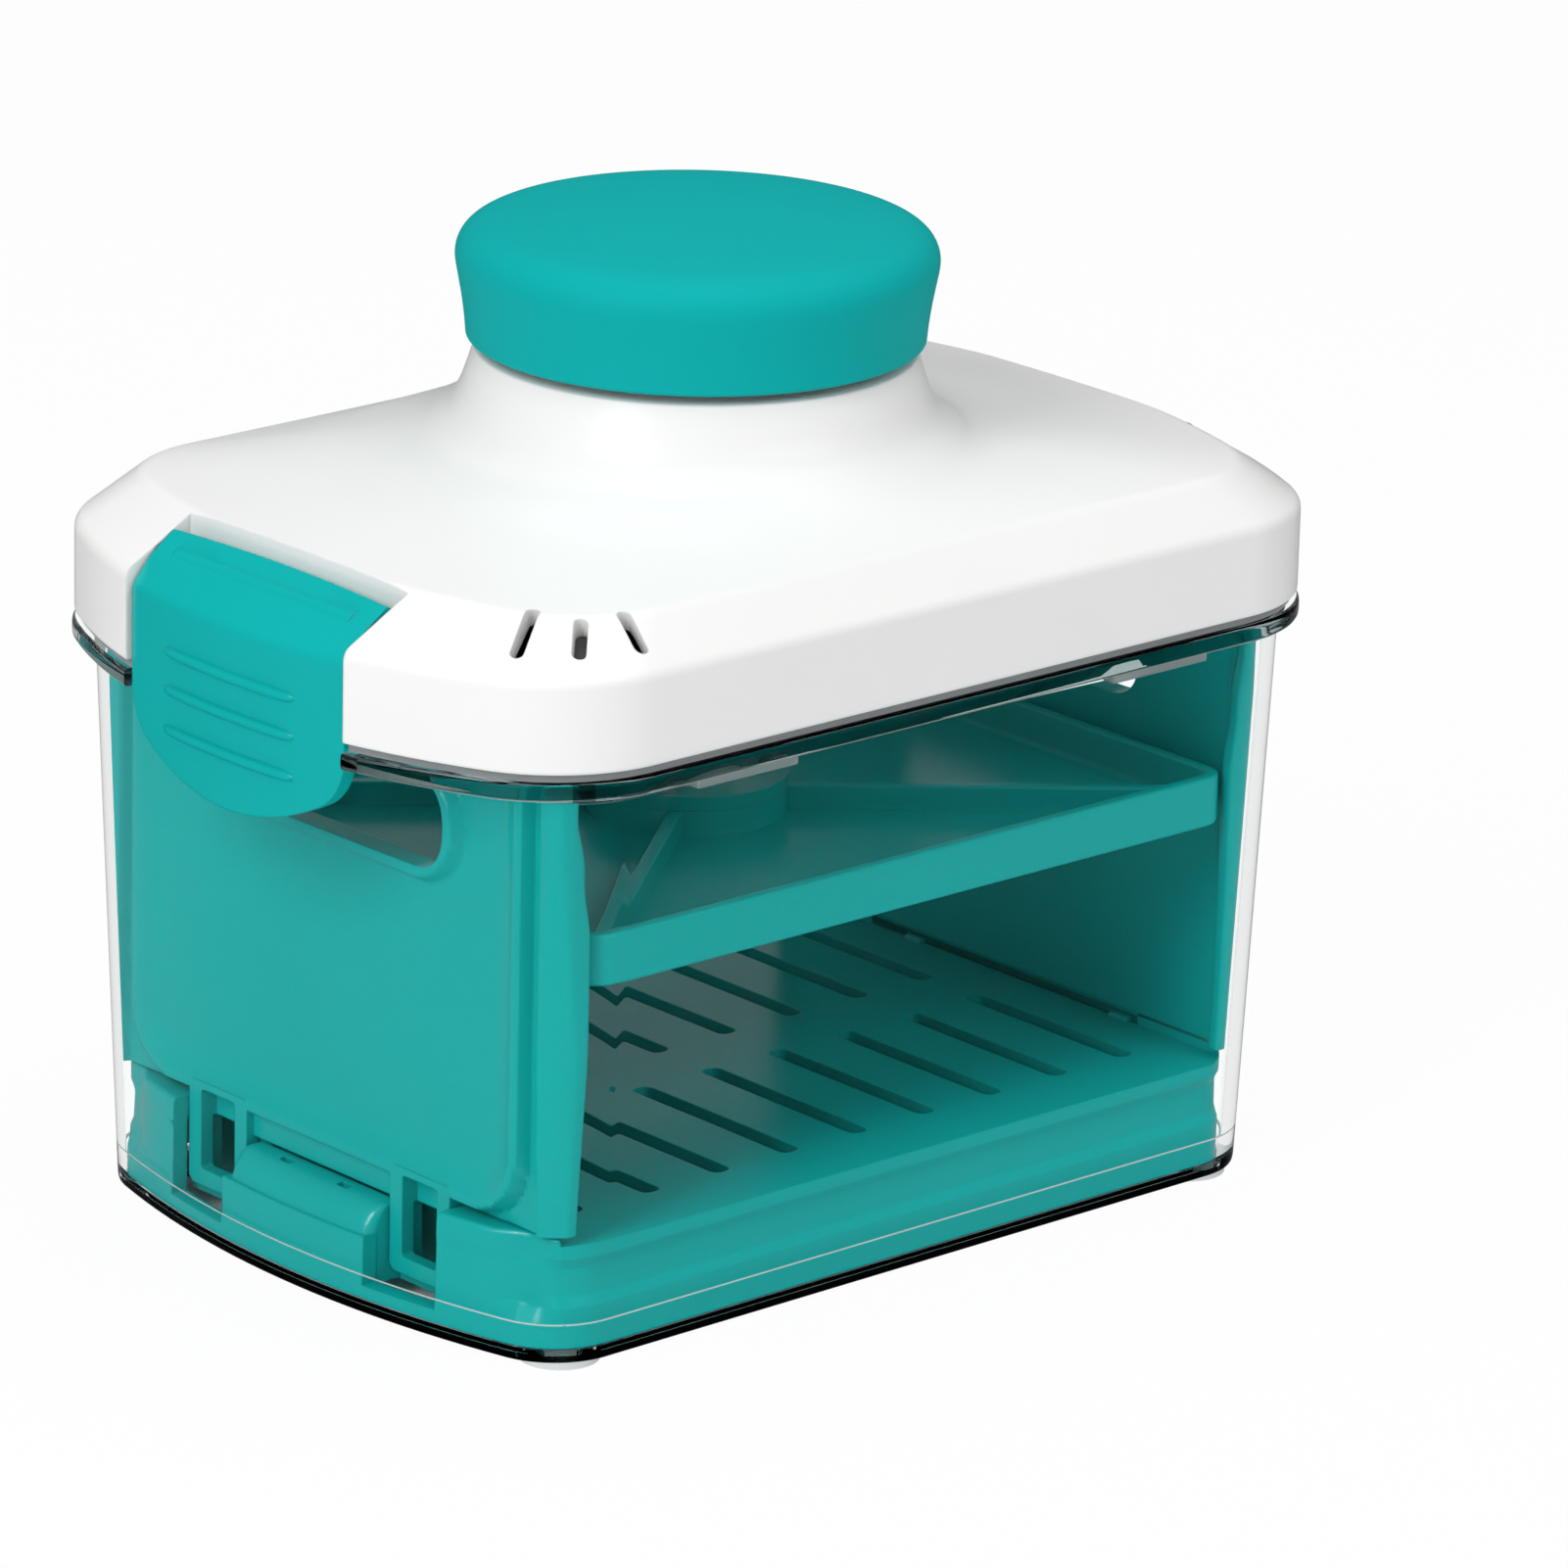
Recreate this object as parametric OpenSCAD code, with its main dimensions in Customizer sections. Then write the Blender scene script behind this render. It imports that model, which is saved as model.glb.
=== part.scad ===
// Screw press for draining yogurt and soft curd: a clear flared box with a
// drain tray and two end walls inside, a clip-on lid, and a knob that screws
// a ribbed plate down on the food. Millimetres, +Z up. The origin is on the
// table, under the middle of the box.

/* [Container] */
// length of the box at its bottom edge
base_length = 138.3; // [134:0.5:142]
// width of the box at its bottom edge
base_width = 94.9; // [94.9:0.5:97]
// how far each end bows out at its middle
base_end_bow = 7.6; // [6:0.2:9]
// radius of the upright corners at the bottom
base_corner_r = 10.8; // [9:0.2:13]
// height of the box from its bottom rim to the flange top
box_height = 79.5; // [79.5:0.5:88]
// how far the walls lean out over that height
wall_flare = 3.2; // [2.8:0.1:3.6]
// wall thickness of the box
wall_t = 1.8; // [1.4:0.1:2.2]
// thickness of the box floor
floor_t = 1.4; // [1.2:0.1:1.8]
// height of the hollow under the floor
floor_raise = 0.8; // [0.6:0.1:1.2]
// thickness of the top flange
flange_t = 2.4; // [1.8:0.1:3]
// how far the flange stands out past the lid skirt
flange_lip = 0.3; // [0.1:0.1:0.6]
// thickness of the foot pads
foot_h = 1.2; // [0.8:0.1:3]
// radius of the foot pads
foot_r = 5.3; // [4:0.1:5.6]
// length of each grip ledge under the flange
ledge_length = 17; // [10:1:24]
// distance of the grip ledges from the middle
ledge_x = 36; // [30:1:40]

/* [Lid] */
// how far the lid ends stand out past the box wall
lid_over_x = 7.65; // [7.2:0.05:8.4]
// how far the lid sides stand out past the box wall
lid_over_y = 2.2; // [2:0.05:2.6]
// how far each lid end bows out at its middle
lid_end_bow = 16.3; // [14:0.5:18]
// radius of the lid corners
lid_corner_r = 20.5; // [17:0.5:24]
// height of the upright skirt
skirt_h = 12.1; // [11:0.1:13]
// height of the bevel above the skirt
bevel_h = 6.2; // [5:0.1:7]
// how far the bevel runs in at the ends
bevel_in_x = 11.7; // [10:0.1:13]
// how far the bevel runs in along the sides
bevel_in_y = 5.6; // [4.5:0.1:7]
// bow of the ends along the upper edge of the bevel
top_end_bow = 10; // [8:0.5:12]
// corner radius along the upper edge of the bevel
top_corner_r = 15.5; // [12:0.5:18]
// wall thickness of the lid
lid_t = 2.2; // [1.8:0.1:2.6]
// thickness of the gasket between lid and flange
seal_t = 1.1; // [0.8:0.1:1.6]
// how far the gasket edge lies inside the skirt
seal_inset = 0.9; // [0.4:0.1:1.4]
// width of the drain slots in the bevel
drain_slot_w = 1.6; // [1:0.1:2.2]

/* [Collar] */
// radius of the collar under the knob
collar_r = 29.2; // [28:0.1:29.2]
// height of the collar top above the bevel
collar_rise = 16; // [16:0.1:18]
// radius where the collar flares into the lid
flare_r = 38; // [36:0.5:40]
// height of the flare foot above the bevel
flare_rise = 5; // [4:0.1:6]
// thickness of the collar top
collar_top_t = 4; // [3.4:0.1:4.6]

/* [Knob] */
// radius of the knob at its lip
knob_lip_r = 30.3; // [30.3:0.1:32]
// largest radius of the knob
knob_r = 31.8; // [31.8:0.1:34]
// height of the knob
knob_h = 17; // [16:0.1:18]
// wall thickness of the knob cap
knob_t = 2.2; // [1.8:0.1:2.6]
// gap between the knob lip and the collar
knob_gap = 1.2; // [0.9:0.1:2]
// thickness of the hub plate inside the knob
hub_t = 2.4; // [2:0.1:3]

/* [Screw] */
// radius of the threaded rod
rod_r = 6; // [5.5:0.1:6.5]
// radius of the rod's foot disc
rod_foot_r = 8; // [7.6:0.1:8.6]
// thickness of the foot disc
rod_foot_t = 3; // [2.4:0.1:3.4]
// radial play of the rod in the nut and the retainer
rod_play = 0.05; // [0.03:0.01:0.09]
// outer radius of the nut sleeve
nut_r = 10.5; // [9.5:0.1:11.5]
// radius of the nut flange
nut_flange_r = 20; // [18:0.1:22]
// thickness of the nut flange
nut_flange_t = 2.6; // [2:0.1:3]
// length of the nut sleeve under its flange
nut_drop = 9; // [6:0.5:11]

/* [Press plate] */
// gap between the plate and each end wall
plate_end_gap = 2.7; // [2.7:0.1:5]
// gap between the plate and the foot of each long side of the box
plate_side_gap = 2.05; // [1.85:0.05:4]
// height of the plate rim
plate_h = 6.9; // [6:0.1:8]
// thickness of the plate and its rim
plate_t = 1.8; // [1.4:0.1:2.4]
// radius of the plate corners
plate_corner_r = 4; // [3:0.5:10]
// how far the plate hangs below the box top when screwed down
plate_drop = 29.7; // [28:0.1:33]
// thickness of the stiffening ribs
rib_t = 2; // [1.6:0.1:2.6]
// height of the ribs from the underside of the plate
rib_h = 4.9; // [4:0.1:4.9]
// radius of the boss that holds the rod foot
boss_r = 13; // [13:0.1:15]

/* [End walls] */
// distance of each end wall inside the end of the box
wall_inset = 7.15; // [6.75:0.05:7.5]
// distance of the wings inside the long sides of the box
wing_inset = 1.75; // [1.75:0.05:3]
// thickness of the end wall panel
panel_t = 2.2; // [1.8:0.1:2.4]
// height of the raised border on the panel
border_h = 1.2; // [0.8:0.1:1.4]
// distance of the raised border inside the wings
border_in = 6.3; // [5:0.1:8]
// bottom of the raised border above the table
border_z = 18.4; // [17.8:0.1:20]
// length of the wings that turn in at the sides
wing_x = 5.8; // [5:0.1:6.4]
// half width of the finger slot
finger_y = 24.3; // [20:0.1:26]
// depth of the finger slot's floor below the box top
finger_drop = 18.7; // [18.7:0.1:22]
// height of the finger slot
finger_h = 12.2; // [10:0.1:12.2]
// middle of each hinge loop, from the middle of the wall
loop_y = 20.65; // [18:0.05:24]
// width of each hinge loop
loop_w = 11.9; // [11:0.1:14]
// width of the window in each hinge loop
window_w = 7; // [6:0.1:8]

/* [Drain tray] */
// height of the deck above the table
deck_z = 16.6; // [16:0.1:17]
// thickness of the deck
deck_t = 2; // [1.6:0.1:2.4]
// height of the corner blocks above the deck
block_rise = 1.1; // [0.6:0.1:1.1]
// width of the drain slots in the deck
deck_slot_w = 3; // [2:0.1:4]
// gap between the tray and the box
tray_gap = 0.5; // [0.3:0.1:0.8]

/* [Latches] */
// width of each latch
latch_w = 43.2; // [40:0.2:46]
// distance of the latch face inside the end of the lid
latch_in = 1.7; // [1:0.1:2.1]
// how far the latch face bows out
latch_bow = 2.1; // [1.6:0.1:2.4]
// thickness of the latch
latch_t = 2; // [1.8:0.1:2.1]
// how far the latch hangs below the box top
latch_drop = 13; // [11.5:0.1:15]
// radius of the bottom edge of the latch
latch_bottom_r = 36; // [30:0.5:45]
// radius of the lower corners of the latch
latch_corner_r = 8; // [6:0.5:10]
// gap between each latch and its pocket
latch_gap = 0.5; // [0.4:0.1:0.8]
// radius of the hinge pin
pin_r = 1.25; // [1:0.05:1.4]
// radial play of the latch on its pin
pin_play = 0.05; // [0.03:0.01:0.09]
// half length of the grip ribs
rib_half_y = 12.9; // [10:0.1:15]
// width of the catch that hooks under the flange
catch_w = 24; // [16:1:30]

/* [Hidden] */
teal = [0.02, 0.6, 0.57];
white = [0.94, 0.94, 0.93];
clear = [0.82, 0.92, 0.92, 0.35];
grey = [0.72, 0.75, 0.76];
steel = [0.7, 0.7, 0.72];
joint_lap = 0.4;
fit = 0.05;
ring_end_steps = 5;
ring_corner_steps = 7;
ring_side_steps = 10;

box_a = base_length / 2;
box_b = base_width / 2;
box_re = bow_radius(base_end_bow, box_b);
box_bottom = foot_h;
box_top = box_bottom + box_height;
flange_bottom = box_top - flange_t;
floor_under = box_bottom + floor_raise;
floor_top = floor_under + floor_t;
mouth_in = wall_flare - wall_t;
rim_t = 2;
foot_x = box_a - base_corner_r - 2.6;
foot_y = box_b - base_corner_r + 4;
foot_boss_r = foot_r;
spigot_r = 2.5;
spigot_h = 1.4;

lid_a = box_a + wall_flare + lid_over_x;
lid_b = box_b + wall_flare + lid_over_y;
lid_re = bow_radius(lid_end_bow, lid_b);
lid_bottom = box_top + seal_t;
skirt_top = lid_bottom + skirt_h;
bevel_top = skirt_top + bevel_h;
top_a = lid_a - bevel_in_x;
top_b = lid_b - bevel_in_y;
top_re = bow_radius(top_end_bow, top_b);
flare_z = bevel_top + flare_rise;
collar_top = bevel_top + collar_rise;
collar_hole_r = nut_r + 0.6;

seat_x = lid_a - 6.4;
pocket_y = latch_w / 2 + latch_gap;
side_t = 2.2;
catch_x = seat_x - 0.8;
flange_cut_x = seat_x + 0.2;
pin_x = seat_x - 2;
pin_z = skirt_top + 1.4;
knuckle_r = pin_r + 1.2;
bend_z = skirt_top - 1.8;
latch_x = lid_a - latch_in;
latch_z = box_top - latch_drop;
latch_top_x = latch_x - 5.9;
latch_top_z = bevel_top - 2.1;
catch_gap = 0.2;

liner_bottom = box_top - 1.75;
liner_t = 1.8;
liner_flange_t = 1.6;
plug_in = mouth_in - 0.5;
post_inset_x = 33.5;
post_inset_y = 20;
screw_post_x = lid_a - post_inset_x;
screw_post_y = lid_b - post_inset_y;
screw_post_r = 4;
screw_r = 1.5;
screw_head_r = 2.8;
screw_head_h = 1;

nut_flange_top = collar_top - collar_top_t;
nut_screw_at = 15.5;
nut_screw_r = 1.3;
nut_screw_len = 2.5;
screw_len = 9;

knob_bottom = collar_top + knob_gap;
knob_top = knob_bottom + knob_h;
hub_bottom = knob_bottom + 1.2;
hub_top = hub_bottom + hub_t;
hub_r = knob_lip_r - knob_t - 0.3;
hub_boss_r = 9;
hub_boss_top = knob_top - knob_t - 3;
rod_top_r = rod_r - 1;
rod_top = hub_boss_top - 2;
cap_post_r = 3.2;
cap_post_at = 20;
small_head_r = 2.4;
small_head_h = 1;
cap_screw_r = 1.2;
cap_screw_len = 4;
rod_screw_r = 1.4;
rod_screw_len = 8;
rod_screw_head_r = 3;
rod_screw_head_h = 1.4;

wall_face_x = box_a - wall_inset;
end_b = box_b - wing_inset;
end_width = 2 * end_b;
border_y = end_b - border_in;
finger_z = box_top - finger_drop;
panel_x = wall_face_x - border_h;
panel_in_x = panel_x - panel_t;
end_top = liner_bottom - 1.4;
end_bottom = deck_z + block_rise + 0.3;
wing_t = 3;
wall_gap = 0.5;
border_w = 2.2;
finger_r = 6;
loop_t = 2;
loop_lift = 2.5;
loop_bottom = floor_top + loop_lift;
window_bottom = loop_bottom + 2.3;
window_top = border_z + 1;
loop_out_x = wall_face_x;
loop_in_x = loop_out_x - loop_t;

plate_a = panel_in_x - plate_end_gap;
plate_b = box_b - plate_side_gap;
plate_z = box_top - plate_drop;
plate_floor = plate_z + plate_t;
foot_gap = 0.1;
rod_foot_z = plate_floor + foot_gap;
boss_top = rod_foot_z + rod_foot_t + foot_gap;
retainer_t = 2;
retainer_screw_at = 10.5;
retainer_screw_r = 1;
retainer_screw_len = 3.5;
retainer_head_r = 1.9;
retainer_head_h = 1.1;

tray_bottom = floor_top + 0.05;
tray_in = -wall_t - tray_gap;
deck_x = panel_in_x - 0.3;
notch_x = loop_in_x - 0.3;
hump_top = deck_z - deck_t + 0.3;
notch_y0 = loop_y - loop_w / 2 - 0.3;
notch_y1 = loop_y + loop_w / 2 + 0.3;
block_top = deck_z + block_rise;
lug_z = window_bottom + 0.3;
lug_h = 4;

// radius of an arc that bows by the given height over a half chord
function bow_radius(bow, half) = (bow * bow + half * half) / (2 * bow);

// first quarter of a rounded outline: a bowed end, then a corner arc
function quarter(a, b, re, r) =
    let (yc = b - r, t = asin(yc / (re - r)), xc = a - re + (re - r) * cos(t))
    concat(
        [for (i = [0 : ring_end_steps - 1])
            let (u = t * i / ring_end_steps)
            [a - re + re * cos(u), re * sin(u)]],
        [for (i = [0 : ring_corner_steps])
            let (u = t + (90 - t) * i / ring_corner_steps)
            [xc + r * cos(u), yc + r * sin(u)]]
    );

// the whole outline, mirrored from its first quarter, grown by d
function outline(a, b, re, r, d = 0) =
    let (
        q = quarter(a + d, b + d, re + d, r + d),
        m = len(q),
        n = ring_side_steps,
        side = [for (i = [1 : n - 1]) [q[m - 1].x * (1 - 2 * i / n), b + d]]
    )
    concat(
        q, side,
        [for (i = [m - 1 : -1 : 0]) [-q[i].x, q[i].y]],
        [for (i = [1 : m - 1]) [-q[i].x, -q[i].y]],
        [for (p = side) -p],
        [for (i = [m - 1 : -1 : 1]) [q[i].x, -q[i].y]]
    );

function box_outline(d = 0) = outline(box_a, box_b, box_re, base_corner_r, d);
function lid_outline(d = 0) = outline(lid_a, lid_b, lid_re, lid_corner_r, d);
function top_outline(d = 0) = outline(top_a, top_b, top_re, top_corner_r, d);

// how far the box wall has leaned out at height z
function flare_at(z) = wall_flare * (z - box_bottom) / box_height;

// points of a flat ring lifted to height z
function lift(ring, z) = [for (p = ring) [p.x, p.y, z]];

// a circle with its points in the directions of another ring
function circle_like(ring, r) =
    [for (p = ring) let (a = atan2(p.y, p.x)) [r * cos(a), r * sin(a)]];

// a ring part of the way between two others
function between(p, q, t) = [for (i = [0 : len(p) - 1]) p[i] * (1 - t) + q[i] * t];

// skin over a list of rings, from the first to the last
function skin_faces(n, count, first = 0) =
    [for (k = [first : first + count - 2]) for (j = [0 : n - 1])
        let (p = k * n + j, q = k * n + (j + 1) % n)
        each [[p, p + n, q + n], [p, q + n, q]]];

// solid between rings, closed by a flat face at each end
module loft(rings) {
    n = len(rings[0]);
    count = len(rings);
    caps = [
        [for (j = [0 : n - 1]) j],
        [for (j = [n - 1 : -1 : 0]) (count - 1) * n + j]
    ];
    polyhedron(points = [for (r = rings) each r],
        faces = concat(skin_faces(n, count), caps), convexity = 6);
}

// solid whose last ring runs back to the first
module closed_loft(rings) {
    n = len(rings[0]);
    count = len(rings);
    total = n * count;
    wrap = [for (f = skin_faces(n, 2, count - 1)) [for (i = f) i % total]];
    polyhedron(points = [for (r = rings) each r],
        faces = concat(skin_faces(n, count), wrap), convexity = 8);
}

// prism over an outline, from z0 to z1
module slab(ring, z0, z1) {
    translate([0, 0, z0])
        linear_extrude(z1 - z0)
            polygon(ring);
}

// block given by its two corners
module span(p, q) {
    translate(p)
        cube(q - p);
}

// rounded rectangle in the XY plane
module rounded(half_x, half_y, r) {
    square([2 * half_x, 2 * (half_y - r)], center = true);
    square([2 * (half_x - r), 2 * half_y], center = true);
    for (sx = [-1, 1], sy = [-1, 1])
        translate([sx * (half_x - r), sy * (half_y - r)])
            circle(r, $fn = 48);
}

// shape drawn in Y and Z, given depth along X from x0 to x1
module upright(x0, x1) {
    translate([x0, 0, 0])
        rotate([90, 0, 90])
            linear_extrude(x1 - x0)
                children();
}

// shape drawn in X and Z, given width along Y either side of the middle
module sideways(half_y) {
    translate([0, half_y, 0])
        rotate([90, 0, 0])
            linear_extrude(2 * half_y)
                children();
}

// upright cylinder from z0 to z1
module post(x, y, r, z0, z1) {
    translate([x, y, z0])
        cylinder(r = r, h = z1 - z0, $fn = 64);
}

// pan head screw with its head below z
module screw_up(x, y, r, head_r, head_h, z, len) {
    post(x, y, head_r, z - head_h, z);
    post(x, y, r, z - fit, z + len);
}

module at_corners(x, y) {
    for (sx = [-1, 1], sy = [-1, 1])
        translate([sx * x, sy * y, 0])
            children();
}

// both ends of the part: the left one as drawn, the right one mirrored
module both_ends() {
    children();
    mirror([1, 0, 0])
        children();
}

// Container: one clear moulding with a raised floor
module container() {
    edge = 1;
    rings = [
        lift(box_outline(-rim_t), floor_under),
        lift(box_outline(-rim_t), box_bottom),
        lift(box_outline(-edge), box_bottom),
        lift(box_outline(-0.3), box_bottom + 0.4),
        lift(box_outline(flare_at(box_bottom + edge)), box_bottom + edge),
        lift(box_outline(wall_flare), box_top),
        lift(box_outline(mouth_in), box_top),
        lift(box_outline(flare_at(floor_top + 1) - wall_t), floor_top + 1),
        lift(box_outline(-wall_t - 0.4), floor_top)
    ];
    color(clear)
        difference() {
            union() {
                loft(rings);
                difference() {
                    slab(lid_outline(flange_lip), flange_bottom, box_top);
                    slab(box_outline(mouth_in + 0.5), flange_bottom - 1, box_top + 1);
                    both_ends()
                        span([-lid_a - 5, -pocket_y, flange_bottom - 1],
                            [-flange_cut_x, pocket_y, box_top + 1]);
                }
                for (sx = [-1, 1], sy = [-1, 1])
                    translate([sx * ledge_x, sy * (box_b + wall_flare), flange_bottom - 1.8])
                        cube([ledge_length, 4, 1.4], center = true);
                at_corners(foot_x, foot_y)
                    post(0, 0, foot_boss_r, box_bottom, floor_under + joint_lap);
            }
            at_corners(foot_x, foot_y)
                post(0, 0, spigot_r + fit, box_bottom - 1, box_bottom + spigot_h + fit);
        }
}

// Foot pads with the spigots that plug into the box
module feet() {
    color([0.9, 0.92, 0.92])
        at_corners(foot_x, foot_y) {
            post(0, 0, foot_r, 0, foot_h);
            post(0, 0, spigot_r, foot_h - joint_lap, foot_h + spigot_h);
        }
}

// Tray that holds the food above the drained whey
module drain_tray() {
    hollow_in = tray_in - 2;
    slot_pitch = (deck_x - 10) / 4;
    slot_half = box_b / 2 - 9.7;
    slot_r = deck_slot_w / 2;
    color(teal)
        difference() {
            slab(box_outline(tray_in), tray_bottom, block_top);
            slab(box_outline(hollow_in), tray_bottom - 1, deck_z - deck_t);
            span([-deck_x, -box_b, deck_z], [deck_x, box_b, block_top + 1]);
            for (sy = [-1, 1])
                for (i = [-4 : 4])
                    translate([i * slot_pitch, sy * box_b * 0.42, 0])
                        slab([for (a = [0 : 11.25 : 359])
                            [slot_r * cos(a), sign(sin(a)) * slot_half + slot_r * sin(a)]],
                            deck_z - deck_t - 1, deck_z + 1);
            both_ends() {
                span([-box_a, -notch_y1, hump_top], [-deck_x, notch_y1, block_top + 1]);
                for (sy = [-1, 1])
                    span([-box_a, sy * loop_y - loop_w / 2 - 0.3, tray_bottom - 1],
                        [-notch_x, sy * loop_y + loop_w / 2 + 0.3, block_top + 1]);
            }
        }
    color(teal)
        both_ends()
            for (sy = [-1, 1]) {
                span([-notch_x, sy * loop_y - loop_w / 2 - 2.3, tray_bottom],
                    [-notch_x + 2, sy * loop_y + loop_w / 2 + 2.3, hump_top]);
                span([-loop_out_x - 1, sy * loop_y - window_w / 2 + 0.3, lug_z],
                    [-notch_x + 1, sy * loop_y + window_w / 2 - 0.3, lug_z + lug_h]);
            }
}

// room inside the box, less a gap d all round
module cavity(d) {
    loft([
        lift(box_outline(-wall_t - d), tray_bottom - 1),
        lift(box_outline(mouth_in - d), box_top)
    ]);
}

// One end wall, drawn for the left end
module end_wall() {
    color(teal)
        intersection() {
            end_wall_blank();
            cavity(wall_gap);
        }
}

module end_wall_blank() {
    difference() {
        union() {
            upright(-panel_x, -panel_in_x)
                translate([0, (end_top + end_bottom) / 2])
                    square([end_width - 2, end_top - end_bottom], center = true);
            upright(-wall_face_x, -panel_x + joint_lap)
                border();
            upright(-wall_face_x, -panel_x + joint_lap)
                finger_lip();
            for (sy = [-1, 1])
                wing(sy);
            upright(-panel_x, -panel_in_x)
                translate([0, (hump_top + 0.7 + end_bottom + 1) / 2])
                    square([2 * notch_y1 - 0.6, end_bottom - hump_top + 0.3], center = true);
            for (sy = [-1, 1])
                hinge_loop(sy);
        }
        upright(-wall_face_x - 1, -panel_in_x + 1)
            finger_hole(0);
    }
}

// raised border around the panel
module border() {
    mid = (end_top + border_z) / 2;
    half = (end_top - border_z) / 2;
    difference() {
        translate([0, mid])
            rounded(border_y, half, 7);
        translate([0, mid + border_w])
            rounded(border_y - border_w, half, 5);
    }
}

// finger slot outline, grown by d
module finger_hole(d) {
    translate([0, finger_z + finger_h / 2])
        rounded(finger_y + d, finger_h / 2 + d, finger_r + d);
}

// raised lip around the finger slot
module finger_lip() {
    difference() {
        intersection() {
            finger_hole(1.3);
            translate([0, end_top - finger_drop])
                square([4 * finger_y, 2 * finger_drop], center = true);
        }
        finger_hole(-0.1);
    }
}

// corner column and the wing that turns in along one side
module wing(sy) {
    edge_x = wall_face_x - wing_x;
    step_z = [end_bottom, end_top - 19.7, end_top - 11.7, end_top];
    step_x = [edge_x + 0.2, edge_x - 0.2, edge_x + 0.8, edge_x + 2.6];
    translate([0, sy * (end_b - wing_t / 2), 0])
        sideways(wing_t / 2)
            polygon(concat([for (i = [0 : 3]) [-step_x[i], step_z[i]]],
                [[-wall_face_x + 0.4, end_top], [-wall_face_x + 0.4, end_bottom]]));
    for (y = [min(sy * end_b, sy * (border_y + 1.6))])
        span([-wall_face_x + 0.4, y, end_bottom],
            [-panel_in_x, y + end_b - border_y - 1.6, end_top]);
}

// loop that hangs on the tray's lug
module hinge_loop(sy) {
    upright(-loop_out_x, -loop_in_x)
        difference() {
            translate([sy * loop_y, (loop_bottom + border_z + border_w) / 2])
                square([loop_w, border_z + border_w - loop_bottom], center = true);
            translate([sy * loop_y, (window_bottom + window_top) / 2])
                square([window_w, window_top - window_bottom], center = true);
        }
}

module end_wall_left() {
    end_wall();
}

module end_wall_right() {
    mirror([1, 0, 0])
        end_wall();
}

// Plate that is screwed down on the food
module press_plate() {
    color(teal)
        difference() {
            union() {
                difference() {
                    translate([0, 0, plate_z])
                        linear_extrude(plate_h)
                            rounded(plate_a, plate_b, plate_corner_r);
                    translate([0, 0, plate_floor])
                        linear_extrude(plate_h)
                            rounded(plate_a - plate_t, plate_b - plate_t, plate_corner_r - plate_t);
                }
                intersection() {
                    for (s = [-1, 1])
                        rotate([0, 0, s * atan(plate_b / plate_a)])
                            translate([0, 0, plate_z + rib_h / 2])
                                cube([3 * plate_a, rib_t, rib_h], center = true);
                    translate([0, 0, plate_z])
                        linear_extrude(plate_h)
                            rounded(plate_a - 0.5, plate_b - 0.5, plate_corner_r - 0.5);
                }
                post(0, 0, boss_r, plate_z, boss_top);
            }
            post(0, 0, rod_foot_r + fit, plate_floor, boss_top + 1);
            for (a = [90 : 120 : 330])
                rotate([0, 0, a])
                    post(retainer_screw_at, 0, retainer_screw_r,
                        boss_top - retainer_screw_len - 0.5, boss_top + 1);
        }
}

// Ring that keeps the rod foot in its boss
module rod_retainer() {
    color(teal)
        difference() {
            post(0, 0, boss_r, boss_top, boss_top + retainer_t);
            post(0, 0, rod_r + rod_play, boss_top - 1, boss_top + retainer_t + 1);
            for (a = [90 : 120 : 330])
                rotate([0, 0, a])
                    post(retainer_screw_at, 0, retainer_screw_r, boss_top - 1, boss_top + retainer_t + 1);
        }
}

module retainer_screws() {
    color(steel)
        for (a = [90 : 120 : 330])
            rotate([0, 0, a]) {
                post(retainer_screw_at, 0, retainer_screw_r - fit,
                    boss_top - retainer_screw_len, boss_top + retainer_t + fit);
                post(retainer_screw_at, 0, retainer_head_r,
                    boss_top + retainer_t, boss_top + retainer_t + retainer_head_h);
            }
}

// Rod that turns in the nut and presses the plate through its foot
module press_rod() {
    color(white)
        difference() {
            union() {
                post(0, 0, rod_foot_r, rod_foot_z, rod_foot_z + rod_foot_t);
                post(0, 0, rod_r, rod_foot_z, hub_bottom);
                intersection() {
                    post(0, 0, rod_top_r, rod_foot_z, rod_top);
                    translate([0, 0, rod_top / 2])
                        cube([2 * rod_top_r - 2, 4 * rod_top_r, rod_top], center = true);
                }
            }
            post(0, 0, rod_screw_r, rod_top - rod_screw_len - 1, rod_top + 1);
        }
}

// Knob cap: a soft dished drum with a shallow dome
module knob_cap() {
    lip = knob_bottom;
    side = knob_h - 5;
    out = [
        [knob_lip_r - 0.9, lip], [knob_lip_r, lip + 0.3], [knob_lip_r + 0.4, lip + 2.4],
        [knob_lip_r + 0.8, lip + side * 0.46], [knob_r - 0.3, lip + side * 0.75],
        [knob_r, lip + side * 0.91], [knob_r - 0.3, lip + side * 1.05],
        [knob_r - 1.1, lip + side * 1.15], [knob_r - 2.4, lip + side * 1.22],
        [knob_r - 4.6, lip + side * 1.28], [knob_r * 0.62, lip + knob_h - 1.2],
        [knob_r * 0.32, lip + knob_h - 0.3], [0, lip + knob_h]
    ];
    inner_r = knob_lip_r - knob_t;
    roof = lip + knob_h - knob_t;
    color(teal) {
        rotate_extrude($fn = 120)
            polygon(concat(out, [
                [0, roof], [knob_r * 0.32, roof - 0.3], [knob_r * 0.62, roof - 1.1],
                [inner_r - 2.2, roof - 2.3], [inner_r, roof - 4], [inner_r, lip]
            ]));
        for (a = [30 : 120 : 270])
            rotate([0, 0, a])
                difference() {
                    post(cap_post_at, 0, cap_post_r, hub_top, roof - 0.6);
                    post(cap_post_at, 0, cap_screw_r, hub_top - 1, hub_top + cap_screw_len + 1);
                }
    }
}

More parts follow.
